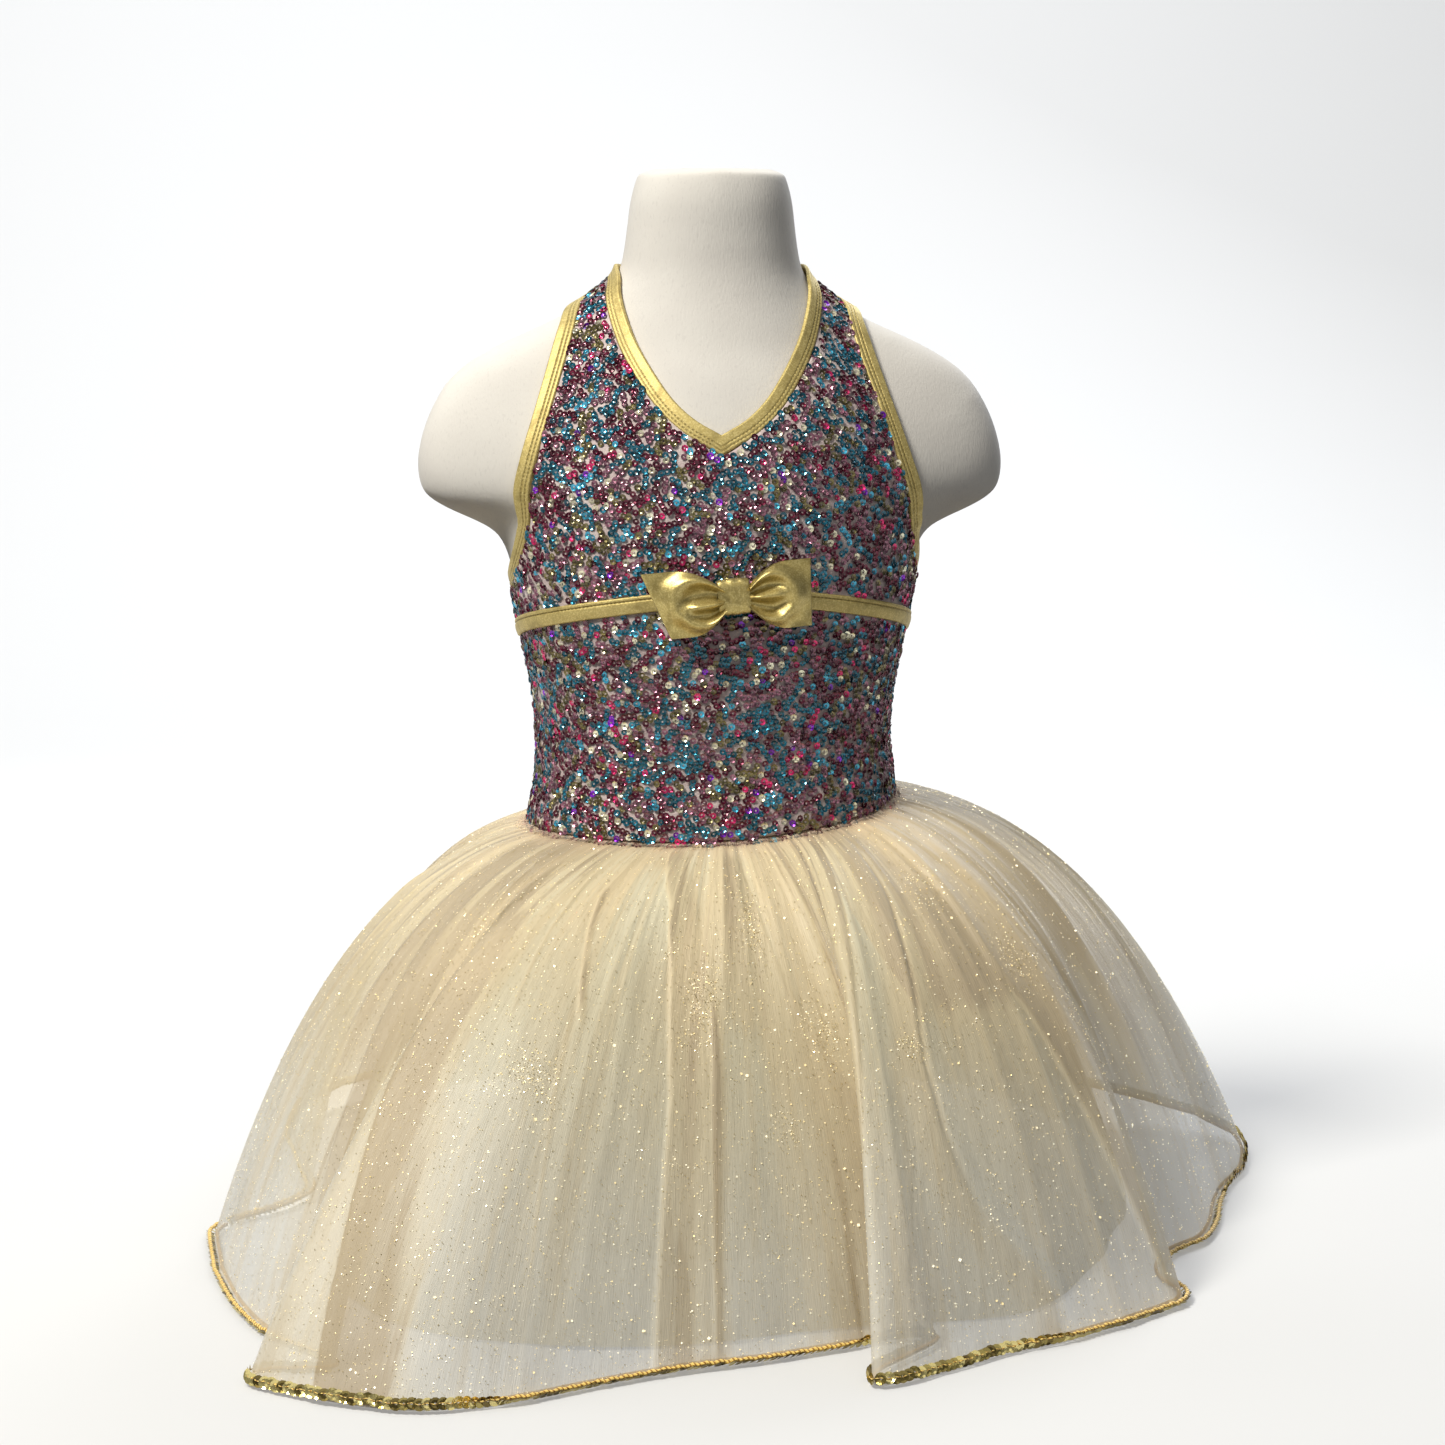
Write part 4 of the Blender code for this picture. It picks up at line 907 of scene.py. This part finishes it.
# Rows of points along a strip are this far apart
STRIP_STEP = 1.3 * MM
# The gold as painted: a lit copy for highlights, its own colour, and a shaded copy
GOLD_PAINTED_HIGHLIGHT, GOLD, GOLD_PAINTED_SHADE = (0.70, 0.58, 0.25), (0.50, 0.39, 0.135), (0.24, 0.175, 0.05)
# Edges of the bodice, as angles in degrees and heights in mm, up to the middle of the nape
NECK_EDGE = [(0, 380), (10, 386.5), (18.5, 394.5), (28, 406), (39.5, 419.5), (50, 431.5), (59.5, 441.5),
             (70, 450.5), (88, 455.5), (120, 456.5), (180, 456)]
ARMHOLE_EDGE = [(90, 314), (83, 319), (77, 327.5), (71.5, 341), (68.6, 354), (67, 369), (67.2, 386),
                (69, 403.5), (72, 418), (77, 428), (90, 435.5), (120, 438), (180, 438.5)]
# The height of the back's upper edge, in mm, at its sides and in its middle
BACK_EDGE_SIDE, BACK_EDGE_MIDDLE = 314, 296


def gold_knit(name, stitches=(), metallic=0.55, smoothest=0.44):
    """Foiled knit with rows of stitching at the given distances across the strip, in metres."""
    knit = Finish(name, Metallic=metallic)
    grain_and_glints, lumps_and_shade = knit.noise(1300.0, 2.0, 0.7), knit.noise(190.0, 3.0)
    # Painted highlights: fine flecks are lightened to the lit gold, like glints on the foil
    tone = knit.mix(grain_and_glints.above(0.55, 0.14), GOLD, GOLD_PAINTED_HIGHLIGHT)
    # Painted shade: random patches are darkened towards the shaded gold
    tone = knit.mix(lumps_and_shade.above(0.60, 0.12) * 0.45, tone, GOLD_PAINTED_SHADE)
    height = grain_and_glints * 0.5 + lumps_and_shade * 0.8
    if stitches:
        across, run = knit.across_and_along()
        stitch = run.waves(STITCH_LENGTH)
        for place in stitches:
            away = knit.node("ShaderNodeMath", {"operation": "ABSOLUTE"}, across - place)
            near = 1.0 - away.above(0.35 * MM, 0.2 * MM)
            # Painted shade: each row of stitching, a groove in the foil (on the ribbon, its fold), is
            # darkened towards the shaded gold
            tone = knit.mix(near * (stitch * 0.45 + 0.35), tone, GOLD_PAINTED_SHADE)
            height = height + near * stitch * 0.9
    knit.feed("Base Color", tone)
    knit.feed("Roughness", grain_and_glints * 0.24 + smoothest)
    knit.relief(height, 0.16 * MM)
    return knit


def turned(angle, height):
    """Where a place of the dress lies once the dress has turned a little on the form."""
    low = min(max((height / MM - 200) / 110, 0.0), 1.0)
    turn = 2.0 * (low + low ** 2 - low ** 3) - 4.2 * smoothstep((height / MM - 310) / 70)
    return angle + math.radians(turn) * max(math.cos(angle), 0.0)


def worn_line(places):
    """A smooth line of points on the form through places of angle, in degrees, and height, in mm."""
    marks = []
    for angle, height in places:
        marks.append(on_form(turned(math.radians(angle), height * MM), height * MM)[0])
    marks = [marks[0] * 2 - marks[1]] + marks + [marks[-1] * 2 - marks[-2]]
    route = smooth_route(marks, 12)
    run = lengths_along(route)
    return at_lengths(np.linspace(0, run[-1], round(run[-1] / STRIP_STEP) + 1), run, route)


def round_the_back(edge):
    return edge + [(360 - angle, height) for angle, height in edge[-2::-1]]


def strip_profile(width, thickness, roll, grooves, crown=0.0):
    """The section of a strip, all round: across it and up from the form, with grooves of place and depth."""
    across = np.linspace(0, width, 33)
    inset = np.clip(np.minimum(across, width - across) / roll, 0, 1)
    top = thickness * np.sqrt(1 - (1 - inset) ** 2) + crown * np.sin(math.pi * across / width) ** 2
    for place, depth in grooves:
        top = top - depth * np.exp(-((across - place) / (0.30 * MM)) ** 2)
    under = np.linspace(width, 0, 5)
    return np.concatenate((across, under)), np.concatenate((top, 0 * under - 0.1 * MM))


def sewn_strip(name, line, side, profile, lift, mitred=False):
    """A strip of a profile swept along a line of points on the form, to the left of its run, as seen from
    outside, or to the right."""
    across, up = profile
    normals = np.array([form_tree.find_nearest(Vector(point))[1] for point in line])
    run = unit(np.gradient(line, axis=0))
    aside = unit(np.cross(normals, run)) * side
    if mitred:
        down = np.array((0.0, 0.0, -1.0))
        aside[0], aside[-1] = down / (down @ aside[0]), down / (down @ aside[-1])
    points = np.empty((len(line), len(across), 3))
    for i, (point, way) in enumerate(zip(line, aside)):
        for j, (distance, rise) in enumerate(zip(across, up)):
            place, normal, _, _ = form_tree.find_nearest(Vector(point + way * distance))
            points[i, j] = place + normal * (lift(place.z) + rise)
    points = np.concatenate((points, points[:, :1]), axis=1)
    return grid_mesh(name, points, np.append(across, 0.0), lengths_along(line)[:, None])


def strap_lift(height):
    """Straps stand off a little more round the root of the neck."""
    return ON_FORM + 0.1 * MM + 0.4 * MM * smoothstep((height - 400 * MM) / (20 * MM))


NECK_STITCHES, ARM_STITCHES = (4.7 * MM, 6.4 * MM), (4.3 * MM, 6.2 * MM)
neck_gold = gold_knit("gold knit neck", NECK_STITCHES)
arm_gold = gold_knit("gold knit armhole", ARM_STITCHES)
rise_at_side = BACK_EDGE_SIDE - BACK_EDGE_MIDDLE
back_edge = [(angle, BACK_EDGE_MIDDLE + rise_at_side * math.sin(math.radians(angle)) ** 2)
             for angle in range(90, 271, 10)]
strips = []
for kind, edge, side, gold, stitches, length, under in (
        ("neck", round_the_back(NECK_EDGE), -1, neck_gold, NECK_STITCHES, 0.370, "net_front"),
        ("armhole", round_the_back(ARMHOLE_EDGE), 1, arm_gold, ARM_STITCHES, 0.480, "net_front"),
        ("back", back_edge, -1, arm_gold, ARM_STITCHES, 0.266, "net_back")):
    grooves = [(place, STITCH_GROOVE) for place in stitches]
    profile = strip_profile(BINDING_WIDTH, BINDING_THICKNESS, EDGE_ROLL, grooves)
    strip = sewn_strip(kind + "_strip", worn_line(edge), side, profile, strap_lift, mitred=kind == "neck")
    dress(strip, gold, "gold_knit", kind + "_binding")
    strips.append(strip)


# Ribbon and bow
# A strip of the same gold knit runs across the front under the bust, its upper edge folded over. On it sits
# a small bow: two puffed loops, creased where they run into the band that is wrapped round them.

RIBBON_WIDTH, RIBBON_LIFT = 8.0 * MM, ON_FORM + CLOTH + GAP + 0.4 * MM
# The ribbon's height, in mm, at the sides and in the middle
RIBBON_SIDE, RIBBON_MIDDLE = 288.5, 308.0
# Across the ribbon, from its lower edge, to the end of its folded part, and how deep the step is there
RIBBON_FOLD, FOLD_STEP = 6.0 * MM, 0.6 * MM
# The bow's place round the form and its tilt, both in degrees, and how tall it is
BOW_ANGLE, BOW_TILT, BOW_HEIGHT = 2.0, 5.0, 30 * MM
KNOT_WIDTH, KNOT_HEIGHT, KNOT_DEPTH = 14.5 * MM, 16.5 * MM, 8 * MM
# The knot sits a little beside the loops' middle and above it. A squareness of 2 would make it round
KNOT_SHIFT, KNOT_SQUARENESS = (-1.2 * MM, 1.2 * MM), 3.2
# The loops' height at the knot, how far off the ribbon their backs lie, and the cloth in one
LOOP_PINCH, LOOP_BACK, LOOP_CLOTH = 10 * MM, 2.2 * MM, 60 * MM
# Each loop: side, reach of its upper and of its lower corner, and where its middle crease lies
BOW_LOOPS = [("left", -1, 42 * MM, 31 * MM, -0.12), ("right", 1, 35 * MM, 33 * MM, 0.05)]


def ribbon_height(angle):
    return RIBBON_SIDE + (RIBBON_MIDDLE - RIBBON_SIDE) * math.cos(math.radians(angle))


folded_in = strip_profile(RIBBON_WIDTH, 1.1 * MM, 0.8 * MM, [(RIBBON_FOLD, FOLD_STEP)], 0.4 * MM)
lower_edge = worn_line([(angle, ribbon_height(angle) - RIBBON_WIDTH / MM / 2)
                        for angle in range(-90, 91, 10)])
ribbon = sewn_strip("ribbon_strip", lower_edge, 1, folded_in, lambda height: RIBBON_LIFT)
dress(ribbon, gold_knit("gold knit ribbon", (RIBBON_FOLD,)), "gold_knit", "empire_ribbon")

seat, outward = on_form(math.radians(BOW_ANGLE), ribbon_height(BOW_ANGLE) * MM, RIBBON_LIFT + 1.5 * MM)
inward = -outward
sideways = inward.cross(Vector((0, 0, 1))).normalized()
axes = Matrix((sideways, inward, sideways.cross(inward))).transposed().to_4x4()
bow_place = Matrix.Translation(seat) @ axes @ Matrix.Rotation(math.radians(-BOW_TILT), 4, "Y")
bow_gold = gold_knit("gold knit bow", metallic=0.75, smoothest=0.28)


def on_bow(grid):
    """A grid of points beside the bow's middle, moved to its place on the dress."""
    return np.array([[bow_place @ Vector(point) for point in line] for line in grid])


def loop_grid(side, upper_reach, lower_reach, crease, columns=72, rows=48):
    """A loop of the bow: its front from the knot to the outer fold, then its back."""
    turn = math.pi * np.arange(columns + 1)[:, None] / columns
    up = 2 * np.arange(rows + 1)[None, :] / rows - 1
    out = np.sin(turn) ** 0.8
    half_height = LOOP_PINCH / 2 + (BOW_HEIGHT - LOOP_PINCH) / 2 * (1 - (1 - np.minimum(out / 0.62, 1)) ** 2)
    start = KNOT_WIDTH / 2 - 1.5 * MM
    middle, slant = (upper_reach + lower_reach) / 2, (upper_reach - lower_reach) / 2
    reach = start + (middle + slant * up - start) * out
    # The cloth bulges in an arc round the loop, sinks inside it, and a ridge runs out of the band
    arc = np.hypot(out / 0.80, up / 0.96)
    bulge = 4.8 * MM * np.exp(-((arc - 0.92) / 0.20) ** 2)
    ridge = 5.0 * MM * np.exp(-((up - crease) / 0.20) ** 2) * (1 - smoothstep((out - 0.40) / 0.30))
    ridge = ridge * smoothstep((out + 0.10) / 0.25)
    crinkle = 0.3 * MM * np.sin(9 * up + 7 * out) * np.sin(5 * out + 3 * up + side)
    front = LOOP_BACK + 2.6 * MM + bulge + ridge + 1.5 * MM * (1 - out ** 2) + crinkle * (1 - out ** 4)
    back = LOOP_BACK + 0.8 * MM + 0 * front
    share = smoothstep((turn / math.pi - 0.42) / 0.12)
    depth = front + (back - front) * share
    return on_bow(np.stack((side * reach, -depth, half_height * up), axis=-1)[::side])


for name, side, upper_reach, lower_reach, crease in BOW_LOOPS:
    grid = loop_grid(side, upper_reach, lower_reach, crease)
    loop = grid_mesh("bow_loop_" + name + "_cloth", grid, LOOP_CLOTH, BOW_HEIGHT)
    dress(loop, bow_gold, "gold_knit", "bow_loop_" + name)

# The band is a barrel, x along it from -1 to 1, rounded off at its ends and grooved round
turn = 2 * math.pi * np.arange(49)[None, :] / 48
x = np.linspace(-1, 1, 41)[:, None]
rim = (1 - np.abs(x) ** 7) ** (1 / 3)
ridges = 0.010 * np.cos(3.1 * math.pi * x + 0.9 * np.sin(turn)) + 0.008 * np.cos(9 * x + 2 * turn)
size = (0.90 + 0.10 * rim + ridges * rim) * (1 - 0.05 * np.abs(x))
squared = np.abs(np.cos(turn)) ** KNOT_SQUARENESS + np.abs(np.sin(turn)) ** KNOT_SQUARENESS
size = size * squared ** (-1 / KNOT_SQUARENESS)
tall, deep = KNOT_HEIGHT / 2 * size * np.sin(turn), KNOT_DEPTH / 2 * size * np.cos(turn)
wide = KNOT_WIDTH / 2 * x + 0 * tall
knot = on_bow(np.stack((wide + KNOT_SHIFT[0], -KNOT_DEPTH / 2 - deep, tall + KNOT_SHIFT[1]), axis=-1))
wrap = grid_mesh("bow_band", knot, x * 8 * MM, turn * 6 * MM)
dress(wrap, bow_gold, "gold_knit", "bow_knot")


# Bodice sequins
# Cup sequins three millimetres wide, mixed in burgundy, teal, mauve, olive and a few brighter colours. The
# brighter ones are painted glints: pink, violet and sky blue sequins stand for light glinting off the cups,
# and the champagne ones are partly real and partly painted glints. A machine has sewn them in wandering
# runs of a few of one colour, and they overlap and lean every way.

SEQUIN_RINGS = [(0.42 * MM, 0.0), (0.85 * MM, 0.10 * MM), (1.45 * MM, 0.42 * MM)]
# No two sequins of the runs lie closer than the spacing, and a run goes on by the step
SEQUIN_SPACING, RUN_STEP = 2.12 * MM, 2.5 * MM
RUN_STARTS = {"front": 26000, "back": 13000}
# Colour, how often a run has it, and the longest run
SEQUIN_COLOURS = {
    "burgundy": ((0.11, 0.003, 0.024), 0.27, 7), "teal": ((0.008, 0.13, 0.20), 0.25, 7),
    "mauve": ((0.27, 0.11, 0.16), 0.18, 6), "olive": ((0.17, 0.14, 0.05), 0.12, 5),
    # Painted glints: the pink, violet and sky sequins stand for light glinting off the cups, and the
    # champagne ones partly do
    "champagne": ((0.86, 0.80, 0.58), 0.07, 1), "pink": ((0.62, 0.02, 0.14), 0.05, 2),
    "violet": ((0.24, 0.015, 0.55), 0.02, 1), "sky": ((0.06, 0.40, 0.60), 0.06, 2),
}


def sequin_finish(name, colour):
    finish = Finish("sequin " + name, Metallic=0.62, Coat_Weight=0.6, Coat_Roughness=0.08)
    tone, other = finish.across_and_along()
    dark, light = [tuple(c * share for c in colour) for share in (0.55, 1.35)]
    finish.feed("Base Color", finish.mix(tone, dark, light))
    finish.feed("Roughness", other * 0.22 + 0.12)
    return finish


def outer_places(thing, count, rng):
    """Random places on the outer side of a panel, even by area."""
    mesh = thing.data
    mesh.calc_loop_triangles()
    corners = np.array([[mesh.vertices[v].co for v in tri.vertices] for tri in mesh.loop_triangles])
    normal = np.cross(corners[:, 1] - corners[:, 0], corners[:, 2] - corners[:, 0])
    area = np.linalg.norm(normal, axis=1)
    middle = corners.mean(axis=1)
    facing = [form_tree.find_nearest(Vector(point))[1] for point in middle]
    outer = (normal * np.array(facing)).sum(axis=1) > 0.6 * area
    chance = area * outer
    picked = corners[rng.choice(len(corners), count, p=chance / chance.sum())]
    a, b = rng.random((2, count, 1))
    a, b = np.where(a + b > 1, 1 - a, a), np.where(a + b > 1, 1 - b, b)
    return picked[:, 0] + (picked[:, 1] - picked[:, 0]) * a + (picked[:, 2] - picked[:, 0]) * b


edging = tree_of(*strips, ribbon)
panels = tree_of(bodice["front"], bodice["back"])
taken = {}
sewn = {name: [] for name in SEQUIN_COLOURS}


def cell_of(point):
    return tuple(int(math.floor(c / SEQUIN_SPACING)) for c in point)


def is_free(point):
    x, y, z = cell_of(point)
    cells = [(x + i, y + j, z + k) for i in (-1, 0, 1) for j in (-1, 0, 1) for k in (-1, 0, 1)]
    return all((other - point).length >= SEQUIN_SPACING for cell in cells for other in taken.get(cell, ()))


def may_hold_sequin(point, normal):
    """Whether a place is on the outer side of the bodice, clear of the gold strips."""
    nearest, form_normal, _, _ = form_tree.find_nearest(point)
    if (point - nearest).dot(form_normal) < ON_FORM + 0.5 * CLOTH or normal.dot(form_normal) < 0.6:
        return False
    return edging.find_nearest(point + normal * 0.6 * MM, 0.9 * MM)[0] is None


shares = np.array([share for _, share, _ in SEQUIN_COLOURS.values()])
shares = shares / shares.sum()
rng = np.random.default_rng(3)
for half, starts in RUN_STARTS.items():
    for start in outer_places(bodice[half], starts, rng):
        point, normal, _, _ = panels.find_nearest(Vector(start))
        colour = rng.choice(list(SEQUIN_COLOURS), p=shares)
        heading = Vector(rng.normal(size=3)).cross(normal).normalized()
        for _ in range(rng.integers(1, SEQUIN_COLOURS[colour][2] + 1)):
            if not is_free(point) or not may_hold_sequin(point, normal):
                break
            taken.setdefault(cell_of(point), []).append(point)
            sewn[colour].append((point, normal))
            heading = (Matrix.Rotation(rng.normal(0, 0.55), 3, normal) @ heading).normalized()
            point, normal, _, _ = panels.find_nearest(point + heading * RUN_STEP)

# The lowest sequins hang past the waist seam, some more and some less
for grid, _ in skirts.values():
    for column in range(2, len(grid) - 2, 4):
        seam, below = Vector(grid[column, 1]), Vector(grid[column, 3])
        _, normal = on_form(math.atan2(seam.x, -seam.y), seam.z)
        place = seam + (below - seam).normalized() * rng.uniform(-1.2, 2.6) * MM + normal * 1.2 * MM
        sewn[rng.choice(list(SEQUIN_COLOURS), p=shares)].append((place, normal))

for name, places in sewn.items():
    centres, normals = np.array(places).transpose(1, 0, 2)
    centres = centres + normals * rng.uniform(0.15, 0.75, (len(centres), 1)) * MM
    sequins = discs("sequins_" + name, centres, tilted(normals, 0.15, rng), SEQUIN_RINGS, 8, rng,
                    scales=rng.uniform(1.0, 1.2, len(centres)))
    dress(sequins, sequin_finish(name, SEQUIN_COLOURS[name][0]), "sequin_net")
